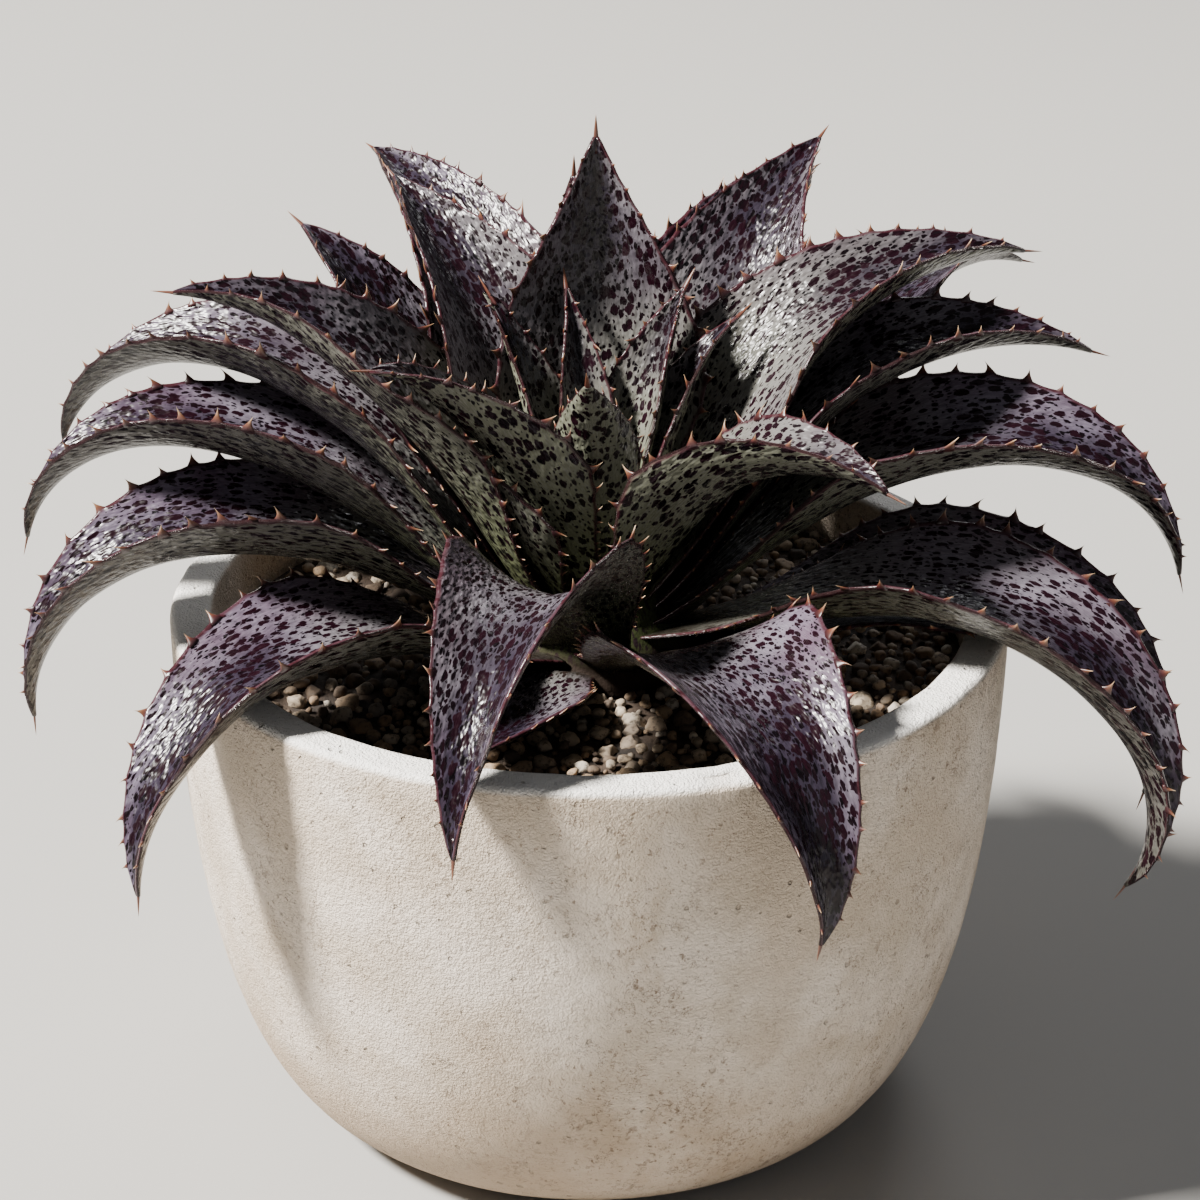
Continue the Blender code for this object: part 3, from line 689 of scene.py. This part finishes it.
def pot_profile():
    """The pot's section: from the middle of the foot out and up, over the rim and down to the floor."""
    foot = [(POT_FOOT_RADIUS * share, 0.0) for share in (0.0, 0.2, 0.4, 0.6, 0.8, 0.94, 1.0)]
    heights = POT_HEIGHT * np.concatenate([np.linspace(0.004, 0.09, 9), np.linspace(0.11, 0.95, 44)])
    outer = [(bowl_radius(height), height) for height in heights]
    lip = POT_RIM_RADIUS - POT_WALL
    rim = eased_edge(POT_RIM_RADIUS, -1, np.linspace(0.0, 90.0, 7))
    flat = POT_WALL - 2.0 * RIM_EDGE
    rim += [(lip + RIM_EDGE + flat * share, POT_HEIGHT) for share in (0.8, 0.6, 0.4, 0.2)]
    rim += eased_edge(lip, 1, np.linspace(90.0, 0.0, 7))
    heights = np.linspace(0.93, 0.16, 26) * POT_HEIGHT
    inner = [(min(lip, bowl_radius(height) - POT_WALL), height) for height in heights]
    floor = bowl_radius(POT_FLOOR) - POT_WALL
    base = [(floor, POT_FLOOR + 0.6 * FLOOR_CORNER), (floor - FLOOR_CORNER, POT_FLOOR)]
    base += [(floor * share, POT_FLOOR) for share in (0.7, 0.4, 0.2, 0.0)]
    return foot + outer + rim + inner + base


def cast_pot(finish):
    """The cast pot, a little uneven, with a worn rim and three drain holes."""
    points, faces = turned(pot_profile(), POT_SIDES)
    for n, (x, y, z) in enumerate(points):
        radius = math.hypot(x, y)
        if radius < EVEN_RADIUS:
            continue
        where = Vector((x, y, z))
        inward = Vector((x, y, 0.0)) / radius
        outside = radius > POT_RIM_RADIUS - POT_WALL / 2
        slow = noise.noise(where * 9.0) * RIM_WANDER
        fine = noise.noise(where * 70.0) * 0.00022 + noise.noise(where * 210.0) * 0.00012
        near_rim = max(0.0, 1.0 - (POT_HEIGHT - z) / RIM_DEPTH)
        worn = max(0.0, noise.noise(where * 46.0) - 0.16) * 0.0034 * near_rim * (1.0 if outside else 0.35)
        moved = where + inward * (slow + fine - worn * (1.0 if outside else -0.6))
        moved.z = 0.0 if z < 0.0005 else z - worn * 0.8 + fine * near_rim
        points[n] = moved
    pot = make_piece("pot_cast", points, faces, [finish])
    pegs = bmesh.new()
    for n in range(3):
        turn = math.radians(30.0) + 2.0 * math.pi * n / 3
        made = bmesh.ops.create_cone(
            pegs, cap_ends=True, segments=32, radius1=DRAIN_RADIUS, radius2=DRAIN_RADIUS,
            depth=DRAIN_PEG_LENGTH,
        )
        bmesh.ops.translate(
            pegs, verts=made["verts"],
            vec=(DRAIN_CIRCLE * math.cos(turn), DRAIN_CIRCLE * math.sin(turn), POT_FLOOR / 2),
        )
    shape = bpy.data.meshes.new("drain_pegs")
    pegs.to_mesh(shape)
    pegs.free()
    cutter = bpy.data.objects.new("drain_pegs", shape)
    bpy.context.scene.collection.objects.link(cutter)
    cut = pot.modifiers.new("drain_holes", "BOOLEAN")
    cut.operation = "DIFFERENCE"
    cut.solver = "EXACT"
    cut.object = cutter
    graph = bpy.context.evaluated_depsgraph_get()
    drained = bpy.data.meshes.new_from_object(pot.evaluated_get(graph))
    pot.modifiers.remove(cut)
    pot.data = drained
    bpy.data.objects.remove(cutter)
    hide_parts("pot")
    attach(pot, "root")


def stem_sheaths(leaves, finish):
    """The short stem under the clasping bases of its leaves, with a groove where one meets the next."""
    heights = [-STEM_ROOT, *np.linspace(SHEATH_FOOT, STEM_TOP, 54)]
    sides = [(stem_radius(height), height) for height in heights]
    points, faces = turned([(0.0, -STEM_ROOT), *sides, (0.0, STEM_TOP)], STEM_SIDES)
    feet = [(leaf.azimuth, leaf.foot) for leaf in leaves]
    base_map = np.zeros((len(points), 2))
    for n, (x, y, z) in enumerate(points):
        radius = math.hypot(x, y)
        turn = math.atan2(y, x)
        base_map[n] = (0.9 * z, STEM_RADIUS * abs(turn))
        if radius > 0.001 and z > SHEATH_FOOT:
            gaps = sorted(
                math.hypot(radius * math.remainder(turn - azimuth, 2.0 * math.pi) * 0.7, z - foot)
                for azimuth, foot in feet
            )
            relief = SHEATH_RELIEF * float(smooth(0.0, SHEATH_GROOVE, gaps[1] - gaps[0])) - 0.0004
            points[n][:2] *= (radius + relief) / radius
        points[n] += (STEM_X, 0.0, SOIL_TOP)
    stem = make_piece("stem_sheaths", points, faces, [finish])
    face_maps(stem, "base_map", base_map)
    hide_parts("stem")
    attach(stem, "root")


def soil_height(radius):
    """Mean height of the soil: a shallow dish round the stem."""
    return SOIL_TOP - DISH_DEPTH * (1.0 - float(smooth(STEM_RADIUS, DISH_RADIUS, radius)))


def potting_soil(finish):
    """The fill of dark soil, crumbly on top, with the hole that the stem stands in."""
    hole = STEM_RADIUS + GAP
    edge = inner_wall_radius(SOIL_TOP) - 1.2 * GAP
    well = [(0.0, HOLE_FLOOR), (hole, HOLE_FLOOR), (hole, HOLE_MIDDLE)]
    top = [(radius, soil_height(radius) - SOIL_BED) for radius in np.linspace(hole, edge, 64)]
    floor = bowl_radius(POT_FLOOR) - POT_WALL
    sides = [(inner_wall_radius(height) - 2.0 * GAP, height) for height in np.linspace(0.215, 0.045, 14)]
    base = [(floor - 0.0008, POT_FLOOR + 0.0064), (floor - 0.0105, POT_FLOOR + GAP), (0.0, POT_FLOOR + GAP)]
    points, faces = turned(well + top + sides + base, SOIL_SIDES)
    for n, (x, y, z) in enumerate(points):
        radius = math.hypot(x, y)
        if z > CRUMBLY_ABOVE and hole + 0.001 < radius < edge - 0.001:
            where = Vector((x, y, 0.4))
            crumb = 0.0011 * noise.noise(where * 160.0) + 0.0009 * noise.noise(where * 420.0)
            points[n][2] = z + crumb
        aside = STEM_X * float(1.0 - smooth(hole, edge, radius)) if z > HOLE_FLOOR - 0.001 else 0.0
        points[n][0] = x + aside
    faces = [face[::-1] for face in faces]
    soil = make_piece("soil_bed", points, faces, [finish])
    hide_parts("soil")
    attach(soil, "root")


def stone_shapes(level, chance, kinds=9):
    """A few stones to take the grit from, each about one unit across, with flat faces and blunt edges."""
    shapes = []
    for _ in range(kinds):
        ball = bmesh.new()
        bmesh.ops.create_icosphere(ball, subdivisions=level, radius=0.5)
        shift = Vector(chance.uniform(-40.0, 40.0, 3))
        worn = [(Vector(chance.normal(size=3)).normalized(), chance.uniform(0.30, 0.44)) for _ in range(9)]
        for v in ball.verts:
            place = v.co * (1.0 + 0.26 * noise.noise(v.co * 1.7 + shift))
            for facing, reach in worn:
                beyond = place.dot(facing) - reach
                if beyond > 0.0:
                    place = place - facing * beyond * 0.92
            chips = 0.16 * noise.noise(v.co * 5.0 + shift)
            specks = 0.07 * noise.noise(v.co * 11.0 + shift)
            v.co = place * (1.0 + chips + specks)
        shapes.append((
            np.array([v.co for v in ball.verts]),
            [tuple(v.index for v in face.verts) for face in ball.faces],
        ))
        ball.free()
    return shapes


def lay_grit(chance):
    """Places and sizes of the stones on the soil, the large ones first, none sunk into another."""
    edge = inner_wall_radius(SOIL_TOP) - 0.002
    laid = []
    for count, small, large in GRIT_SIZES:
        made = 0
        for _ in range(count * 5):
            if made >= count:
                break
            size = chance.uniform(small, large)
            radius = math.sqrt(chance.uniform((STEM_RADIUS + 0.004) ** 2, (edge - size / 2) ** 2))
            turn = chance.uniform(0.0, 2.0 * math.pi)
            x, y = radius * math.cos(turn), radius * math.sin(turn)
            if laid:
                others = np.array(laid)
                gap = np.hypot(others[:, 0] - x, others[:, 1] - y)
                if (gap < 0.45 * (others[:, 2] + size)).any():
                    continue
            if math.hypot(x - STEM_X, y) < STEM_RADIUS + 0.6 * size:
                continue
            laid.append((x, y, size))
            made += 1
    return laid


def grit(finish):
    """Loose stones half sunk in the soil: pumice, tan and grey ones of mixed sizes."""
    chance = np.random.default_rng(41)
    laid = lay_grit(chance)
    for (name, level), (_, small, large) in zip(
        (("grit_coarse", 3), ("grit_middling", 2), ("grit_fine", 1)), GRIT_SIZES
    ):
        stones = [stone for stone in laid if small < stone[2] <= large]
        shapes = stone_shapes(level, chance)
        points = []
        faces = []
        tones = []
        total = 0
        for x, y, size in stones:
            shape, shape_faces = shapes[chance.integers(len(shapes))]
            turn = chance.uniform(0.0, 2.0 * math.pi)
            cos, sin = math.cos(turn), math.sin(turn)
            stretch = [chance.uniform(*ends) for ends in ((0.85, 1.2), (0.8, 1.05), (0.62, 0.9))]
            wide, deep, tall = (shape * stretch * size).T
            ground = soil_height(math.hypot(x, y))
            top = ground + GRIT_HEIGHT - chance.uniform(0.0, 0.0022)
            sunk = min(top, ground - SOIL_BED + 0.75 * size) - tall.max()
            own = np.stack([wide * cos - deep * sin + x, wide * sin + deep * cos + y, tall + sunk], axis=1)
            points.append(own)
            faces += [tuple(v + total for v in face) for face in shape_faces]
            tones.append(np.tile([chance.uniform(), chance.uniform()], (len(own), 1)))
            total += len(own)
        piece = make_piece(name, np.vstack(points), faces, [finish])
        face_maps(piece, "stone_map", np.vstack(tones))
        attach(piece, "root")


# Finishes. A finish is a recipe of fields, and the helpers for those come first.
class Field:
    """A number, colour or place that varies over a surface. Arithmetic on it adds nodes to its tree."""

    def __init__(self, socket):
        self.socket = socket
        self.tree = socket.id_data

    def __add__(self, other):
        return maths("ADD", self, other)

    def __sub__(self, other):
        return maths("SUBTRACT", self, other)

    def __rsub__(self, other):
        return maths("SUBTRACT", other, self)

    def __mul__(self, other):
        return maths("MULTIPLY", self, other)

    def __truediv__(self, other):
        return maths("DIVIDE", self, other)

    def __rtruediv__(self, other):
        return maths("DIVIDE", other, self)


def feed(socket, value):
    """Links a field to an input, or sets the input to a plain value."""
    if isinstance(value, Field):
        socket.id_data.links.new(value.socket, socket)
    else:
        socket.default_value = (*value, 1.0) if socket.type == "RGBA" else value


def add_node(tree, kind, values, **settings):
    """A node with its settings, and with its inputs fed."""
    node = tree.nodes.new(kind)
    for name, value in settings.items():
        setattr(node, name, value)
    for socket, value in values.items():
        feed(node.inputs[socket], value)
    return node


def new_field(tree, kind, values, output=0, **settings):
    """What comes out of a new node."""
    return Field(add_node(tree, kind, values, **settings).outputs[output])


def tree_of(*values):
    """The node tree of the first field among the values."""
    return next(value.tree for value in values if isinstance(value, Field))


def maths(operation, *values, clamp=False):
    inputs = dict(enumerate(values))
    return new_field(tree_of(*values), "ShaderNodeMath", inputs, operation=operation, use_clamp=clamp)


def kept(value):
    """A number held between 0 and 1."""
    return maths("ADD", value, 0.0, clamp=True)


def rise(value, low, high, start=0.0, end=1.0):
    """A smooth step from start to end while a value goes from low to high."""
    inputs = {"Value": value, "From Min": low, "From Max": high, "To Min": start, "To Max": end}
    return new_field(value.tree, "ShaderNodeMapRange", inputs, interpolation_type="SMOOTHSTEP")


def mixed(share, first, second):
    """Two colours mixed by a share."""
    inputs = {0: share, 6: first, 7: second}
    return new_field(tree_of(share, first, second), "ShaderNodeMix", inputs, 2, data_type="RGBA")


def coated(colour, *coats):
    """A colour with coats laid on it one after the other, each given as (share, colour)."""
    for share, coat in coats:
        colour = mixed(share, colour, coat)
    return colour


def ramp(value, stops):
    """A colour that changes with a value, through (place, colour) stops."""
    node = add_node(value.tree, "ShaderNodeValToRGB", {"Fac": value})
    band = node.color_ramp
    while len(band.elements) < len(stops):
        band.elements.new(0.5)
    for element, (place, colour) in zip(band.elements, stops):
        element.position = place
        element.color = (*colour, 1.0)
    return Field(node.outputs[0])


def cloud(place, scale, detail=2.0, rough=0.5, dimensions="3D", output=0):
    """Soft noise around 0.5."""
    inputs = {"Vector": place, "Scale": scale, "Detail": detail, "Roughness": rough}
    return new_field(place.tree, "ShaderNodeTexNoise", inputs, output, noise_dimensions=dimensions)


def cells(place, scale, dimensions="3D"):
    """Scattered cells: each one's own chance number, and how far away its middle is."""
    inputs = {"Vector": place, "Scale": scale, "Randomness": 1.0}
    node = add_node(place.tree, "ShaderNodeTexVoronoi", inputs, voronoi_dimensions=dimensions)
    return parted(Field(node.outputs["Color"]))[0], Field(node.outputs["Distance"])


def place_maths(operation, first, second):
    return new_field(first.tree, "ShaderNodeVectorMath", {0: first, 1: second}, operation=operation)


def stretched(place, scale):
    return place_maths("MULTIPLY", place, scale)


def parted(place):
    """The three numbers of a place, or of a colour."""
    return [Field(socket) for socket in add_node(place.tree, "ShaderNodeSeparateXYZ", {0: place}).outputs]


def named_map(made, name):
    """One of the maps that the pieces carry."""
    return new_field(made.node_tree, "ShaderNodeUVMap", {}, uv_map=name)


def own_place(made):
    """Where a point is in its piece's own frame."""
    return new_field(made.node_tree, "ShaderNodeTexCoord", {}, "Object")


def new_group(name, numbers, outputs):
    """A node group that is given a place and some numbers, as (group, given fields, outputs to feed)."""
    group = bpy.data.node_groups.new(name, "ShaderNodeTree")
    group.interface.new_socket(name="Place", in_out="INPUT", socket_type="NodeSocketVector")
    for label, value in numbers.items():
        socket = group.interface.new_socket(name=label, in_out="INPUT", socket_type="NodeSocketFloat")
        socket.default_value = value
    for label in outputs:
        group.interface.new_socket(name=label, in_out="OUTPUT", socket_type="NodeSocketFloat")
    given = {socket.name: Field(socket) for socket in group.nodes.new("NodeGroupInput").outputs}
    return group, given, group.nodes.new("NodeGroupOutput").inputs


def use_group(group, **values):
    """What a group makes of the values, as fields by name."""
    node = add_node(tree_of(*values.values()), "ShaderNodeGroup", values, node_tree=group)
    return {socket.name: Field(socket) for socket in node.outputs}


def new_finish(name, roughness, specular=0.5):
    """A material and the inputs of its shader."""
    made = bpy.data.materials.new(name)
    made.use_nodes = True
    inputs = made.node_tree.nodes["Principled BSDF"].inputs
    inputs["Roughness"].default_value = roughness
    inputs["Metallic"].default_value = 0.0
    inputs["Specular IOR Level"].default_value = specular
    return made, inputs


def raise_surface(inputs, height, distance, strength=1.0):
    bump = {"Height": height, "Distance": distance, "Strength": strength}
    feed(inputs["Normal"], new_field(height.tree, "ShaderNodeBump", bump))


def spots_group():
    """Blotches and specks in the leaf's own skin, drawn out along the leaf, and each one's tone."""
    group, given, out = new_group(
        "skin_spots", {"Stretch": 1.8, "Size": 0.0066, "Crowding": 0.2}, ("Spots", "Tone")
    )
    x, y, _ = parted(given["Place"])
    flat = new_field(group, "ShaderNodeCombineXYZ", {0: x / given["Stretch"], 1: y})
    drift = place_maths("SUBTRACT", cloud(flat, 320.0, 3.0, 0.6, "2D", "Color"), (0.5, 0.5, 0.5))
    flat = place_maths("ADD", flat, stretched(drift, (SPOT_DRIFT, SPOT_DRIFT, SPOT_DRIFT)))
    masks = []
    tones = []
    for finer, least, spread, grows in SPOT_LAYERS:
        chance, distance = cells(flat, finer / given["Size"], "2D")
        radius = given["Crowding"] * grows + (chance * spread + least)
        masks.append(kept((radius - distance) * (SPOT_EDGE / finer**0.5) + 0.5))
        tones.append(chance)
    feed(out["Spots"], maths("MAXIMUM", *masks))
    feed(out["Tone"], tones[0])
    return group


def grain_group():
    """Fine mineral grain: a mottle of tone, a stipple for the surface and a few small pits."""
    group, given, out = new_group("mineral_grain", {"Fineness": 600.0}, ("Mottle", "Stipple", "Pits"))
    place, fineness = given["Place"], given["Fineness"]
    coarse = cloud(place, fineness * 0.32, 2.0, 0.5)
    chance, distance = cells(place, fineness * 0.24)
    few = rise(chance, 0.88, 0.99)
    pit = rise((coarse - 0.5) * 0.9 + distance, 0.30, 0.12)
    feed(out["Mottle"], cloud(place, fineness * 0.03, 5.0, 0.62))
    feed(out["Stipple"], coarse * 0.7 + cloud(place, fineness, 2.0, 0.6))
    feed(out["Pits"], few * pit)
    return group


def leaf_skin(spots):
    """Waxy skin: olive at the foot, then grey-green to lilac, with blotches that run together to the tip."""
    made, inputs = new_finish("spotted_leaf_skin", 0.22, specular=0.26)
    skin = named_map(made, "skin_map")
    along, across, _ = parted(named_map(made, "place_map"))
    age, under, _ = parted(named_map(made, "age_map"))
    below = rise(under, 0.4, 0.6)
    slow = cloud(skin, 26.0, 3.0, 0.55, "2D")
    slower = cloud(skin, 10.0, 1.0, 0.5, "2D")
    fibres = cloud(stretched(skin, (170.0, 1300.0, 1.0)), 1.0, 3.0, 0.6, "2D")

    def fading_below(share):
        """1 on the upper face, and the share on the under face."""
        return below * (share - 1.0) + 1.0

    tipward = rise(along, 0.30, 0.88)
    channel = rise(across, 0.85, 0.25)
    darkness = age * (channel * 0.38 + 0.06) + tipward * (channel * 0.30 + 0.52)
    darkness = kept((slow - 0.5) * 0.8 + darkness)
    upper = use_group(
        spots, Place=skin, Stretch=age * 0.8 + 1.5, Size=age * -0.0015 + 0.0045, Crowding=darkness
    )
    dashes = use_group(
        spots, Place=skin, Stretch=age * 2.2 + 1.3, Size=age * -0.0030 + 0.0050,
        Crowding=darkness * 0.6 + 0.20,
    )
    spotted = kept(dashes["Spots"] * below + upper["Spots"] * (1.0 - below))

    green = mixed(rise(along, 0.05, 0.48), (0.078, 0.104, 0.018), (0.114, 0.117, 0.092))
    lilac = kept(tipward * 0.4 + (age * 0.75 + (slower * 0.9 - 0.42)))
    wash = rise(across * 0.25 + (slow * 0.7 - 0.12), 0.28, 0.58) * (age * 0.5 + 0.1)
    # Partly the paler sage of the young leaves, partly painted light: their colour is lifted so that the
    # inner leaves look lit.
    young_tint_and_painted_light = rise(age, 0.62, 0.15, 0.0, 0.60) * rise(below, 0.0, 1.0, 0.12, 1.0)
    shaded = rise(darkness, 0.20, 0.92, 0.0, 0.94) * fading_below(0.60)
    # Partly the under face's own dull olive, partly painted shade: the under faces are darkened, more on the
    # older leaves.
    underside_tint_and_painted_shade = below * (age * 0.50 + 0.05)
    # Painted highlights: pale lilac streaks along the fibres, left out where the ground is darkest, stand in
    # for the glints of the wax.
    painted_highlight_streaks = rise(fibres, 0.48, 0.80, 0.0, 0.26) * (1.0 - shaded)
    blot = mixed(upper["Tone"], (0.0012, 0.0006, 0.0012), (0.0085, 0.0017, 0.0042))
    # Painted shade: the feet of the older leaves are darkened to near black, where they lie in shade under
    # the leaves above.
    painted_foot_shade = rise(along, 0.20, 0.05) * rise(age, 0.30, 0.60, 0.0, 0.90)
    margin = rise(across, 0.955, 0.995, 0.0, 0.85)
    feed(inputs["Base Color"], coated(
        green,
        (lilac * fading_below(0.30), (0.122, 0.102, 0.140)),
        (wash * fading_below(0.15), (0.052, 0.016, 0.038)),
        (young_tint_and_painted_light, (0.190, 0.200, 0.135)),
        (shaded, (0.013, 0.009, 0.017)),
        (underside_tint_and_painted_shade, (0.046, 0.044, 0.028)),
        (painted_highlight_streaks, (0.20, 0.190, 0.215)),
        (spotted, blot),
        (painted_foot_shade, (0.016, 0.013, 0.009)),
        (margin, (0.036, 0.010, 0.014)),
    ))
    feed(inputs["Roughness"], rise(fibres, 0.25, 0.75, 0.20, 0.33))
    pebbles = cloud(stretched(skin, (190.0, 330.0, 1.0)), 1.0, 1.0, 0.42, "2D")
    raise_surface(inputs, pebbles, 0.0010)
    return made


def hook_horn():
    """Horny hooks and spines: dark red at the root, through red-brown to a pale tan point."""
    made, inputs = new_finish("hook_horn", 0.36)
    reach, tone, _ = parted(named_map(made, "horn_map"))
    feed(inputs["Base Color"], ramp((tone - 0.5) * 0.24 + reach, [
        (0.02, (0.022, 0.006, 0.008)), (0.24, (0.052, 0.014, 0.012)), (0.48, (0.115, 0.042, 0.022)),
        (0.74, (0.250, 0.140, 0.078)), (0.96, (0.470, 0.350, 0.230)),
    ]))
    return made


def pot_concrete(grain):
    """Pale fine concrete, softly stained, browner and darker towards the foot, with brown flecks, broken
    cracks and pits.
    """
    made, inputs = new_finish("cast_concrete", 0.88)
    place = own_place(made)
    level = parted(place)[2]
    own = use_group(grain, Place=place, Fineness=900.0)
    broad = cloud(place, 9.0, 4.0, 0.62)
    stain = cloud(stretched(place, (1.0, 1.0, 0.5)), 17.0, 7.0, 0.70)
    # Browner and darker towards the foot of the pot.
    browner_towards_foot = rise((broad - 0.5) * 0.16 + level, 0.150, 0.010, 0.0, 0.72)
    marked = rise(stain, 0.38, 0.62, 0.24, 1.0)
    broad_flecks, fine_flecks = (
        rise(cloud(stretched(place, (1.0, 1.0, 0.8)), scale, 6.0, 0.72), least, least + 0.03, 0.0, share)
        for scale, least, share in ((120.0, 0.605, 0.55), (360.0, 0.590, 0.85))
    )
    crack = rise(maths("ABSOLUTE", cloud(place, 150.0, 5.0, 0.66) - 0.5), 0.016, 0.005)
    broken = rise(cloud(place, 60.0, 3.0, 0.6), 0.45, 0.55)
    # Painted light: the rim's top face is painted near-white, as where the light falls on it.
    painted_rim_light = rise(level, POT_HEIGHT - 0.0035, POT_HEIGHT - 0.0005, 0.0, 0.90)
    feed(inputs["Base Color"], coated(
        mixed(rise(broad, 0.38, 0.62), (0.560, 0.460, 0.360), (0.740, 0.645, 0.550)),
        (rise(own["Mottle"], 0.42, 0.66, 0.0, 0.50), (0.460, 0.375, 0.280)),
        (rise(stain, 0.52, 0.70, 0.0, 0.60), (0.370, 0.275, 0.180)),
        (browner_towards_foot, (0.400, 0.290, 0.190)),
        (broad_flecks * marked, FLECK_COLOUR),
        (fine_flecks * marked, FLECK_COLOUR),
        (crack * broken * marked * 0.85, (0.110, 0.070, 0.042)),
        (painted_rim_light, (0.92, 0.90, 0.86)),
        (own["Pits"] * 0.45, (0.230, 0.175, 0.120)),
    ))
    raise_surface(inputs, own["Pits"] * -1.3 + own["Stipple"], 0.0017)
    return made


def dark_soil(grain):
    """Dark moist potting mix."""
    made, inputs = new_finish("potting_mix", 0.92)
    own = use_group(grain, Place=own_place(made), Fineness=1300.0)
    ground = mixed(rise(own["Mottle"], 0.35, 0.65), (0.014, 0.009, 0.006), (0.062, 0.040, 0.026))
    feed(inputs["Base Color"], mixed(own["Pits"] * 0.8, ground, (0.22, 0.17, 0.12)))
    raise_surface(inputs, own["Stipple"], 0.0012, 0.9)
    return made


def grit_stone(grain):
    """Mixed grit: each stone has its own tone, from dark grey through tan to pale pumice."""
    made, inputs = new_finish("grit_stone", 0.80)
    place = own_place(made)
    own = use_group(grain, Place=place, Fineness=1500.0)
    pick, tone, _ = parted(named_map(made, "stone_map"))
    plain = ramp(pick, [
        (0.00, (0.040, 0.030, 0.024)), (0.16, (0.110, 0.076, 0.050)), (0.32, (0.240, 0.155, 0.090)),
        (0.52, (0.360, 0.250, 0.150)), (0.68, (0.270, 0.230, 0.185)), (0.84, (0.460, 0.360, 0.250)),
        (0.98, (0.620, 0.560, 0.470)),
    ])
    feed(inputs["Base Color"], coated(
        plain,
        (rise(tone, 0.0, 1.0, 0.0, 0.42), (0.120, 0.080, 0.050)),
        (rise(own["Mottle"], 0.44, 0.70, 0.0, 0.55), (0.110, 0.074, 0.048)),
        (rise(cloud(place, 420.0, 3.0, 0.6), 0.50, 0.66, 0.0, 0.70), (0.055, 0.038, 0.027)),
    ))
    raise_surface(inputs, own["Stipple"], 0.0005, 0.7)
    return made


def stem_flesh(grain, spots):
    """The leaf bases on the stem: spotted olive flesh above, dark brown where they meet the soil, partly
    withered old bases and partly painted shade under the leaves.
    """
    made, inputs = new_finish("stem_flesh", 0.78, specular=0.10)
    base = named_map(made, "base_map")
    height = parted(base)[0]
    own = use_group(grain, Place=own_place(made), Fineness=700.0)
    marks = use_group(spots, Place=base, Stretch=1.6, Size=0.0036, Crowding=0.12)
    flesh = mixed(own["Mottle"], (0.016, 0.021, 0.007), (0.036, 0.042, 0.016))
    flesh = mixed(marks["Spots"], flesh, (0.012, 0.006, 0.008))
    # Partly the withered old bases, partly painted shade: near-black brown where the stem sits in the shade
    # under the leaves.
    aged_base_and_painted_shade = mixed(own["Mottle"], (0.009, 0.006, 0.005), (0.026, 0.017, 0.012))
    feed(inputs["Base Color"], mixed(rise(height, 0.006, 0.017), aged_base_and_painted_shade, flesh))
    raise_surface(inputs, own["Stipple"], 0.0006, 0.6)
    return made


# The studio.
def studio_floor():
    """A wide pale floor, just under the pot."""
    made, inputs = new_finish("studio_floor", 0.9)
    feed(inputs["Base Color"], FLOOR_COLOUR)
    corners = [(x * FLOOR_HALF, y * FLOOR_HALF, 0.0) for x, y in ((-1, -1), (1, -1), (1, 1), (-1, 1))]
    floor = make_piece("studio_floor", corners, [(0, 1, 2, 3)], [made])
    floor.location.z = -FLOOR_DROP


def studio_light(name, place, aim, size, power, colour):
    """A soft square light that looks at a point."""
    lamp = bpy.data.lights.new(name, "AREA")
    lamp.shape = "SQUARE"
    lamp.size = size
    lamp.energy = power
    lamp.color = colour
    item = bpy.data.objects.new(name, lamp)
    item.location = place
    item.rotation_euler = (Vector(aim) - Vector(place)).to_track_quat("-Z", "Y").to_euler()
    bpy.context.scene.collection.objects.link(item)


def studio_camera():
    """A long lens that looks down on the plant from the front."""
    raised = math.radians(CAMERA_RAISED)
    aim = Vector((AIM_RIGHT, -AIM_DOWN * math.sin(raised), POT_HEIGHT - AIM_DOWN * math.cos(raised)))
    lens = bpy.data.cameras.new("studio_camera")
    lens.lens = 90.0
    lens.sensor_width = lens.sensor_height = 36.0
    lens.clip_start = 0.05
    camera = bpy.data.objects.new("studio_camera", lens)
    camera.location = aim + CAMERA_DISTANCE * Vector((0.0, -math.cos(raised), math.sin(raised)))
    camera.rotation_euler = (aim - camera.location).to_track_quat("-Z", "Y").to_euler()
    bpy.context.scene.collection.objects.link(camera)
    bpy.context.scene.camera = camera


def studio():
    studio_floor()
    studio_light("key_light", (-8.0, -1.8, 9.2), (0.0, 0.0, 0.26), 1.7, 8500.0, (1.0, 0.965, 0.91))
    studio_light("fill_light", (1.6, -1.5, 1.0), (0.0, 0.0, 0.25), 1.8, 4.0, (0.92, 0.95, 1.0))
    studio_light("back_light", (0.6, 1.7, 1.6), (0.0, 0.0, 0.3), 0.9, 14.0, (0.97, 0.98, 1.0))
    world = bpy.data.worlds.new("studio_room")
    world.use_nodes = True
    room = world.node_tree.nodes["Background"]
    feed(room.inputs["Color"], (0.93, 0.95, 1.0))
    feed(room.inputs["Strength"], 0.13)
    bpy.context.scene.world = world
    studio_camera()


def main():
    grain = grain_group()
    spots = spots_group()

    leaves = [Leaf(*row) for row in LEAVES]
    settle(leaves)
    skin = leaf_skin(spots)
    horn = hook_horn()
    for number, leaf in enumerate(leaves):
        make_leaf(leaf, number, skin, horn)
    stem_sheaths(leaves, stem_flesh(grain, spots))
    cast_pot(pot_concrete(grain))
    potting_soil(dark_soil(grain))
    grit(grit_stone(grain))
    studio()


main()
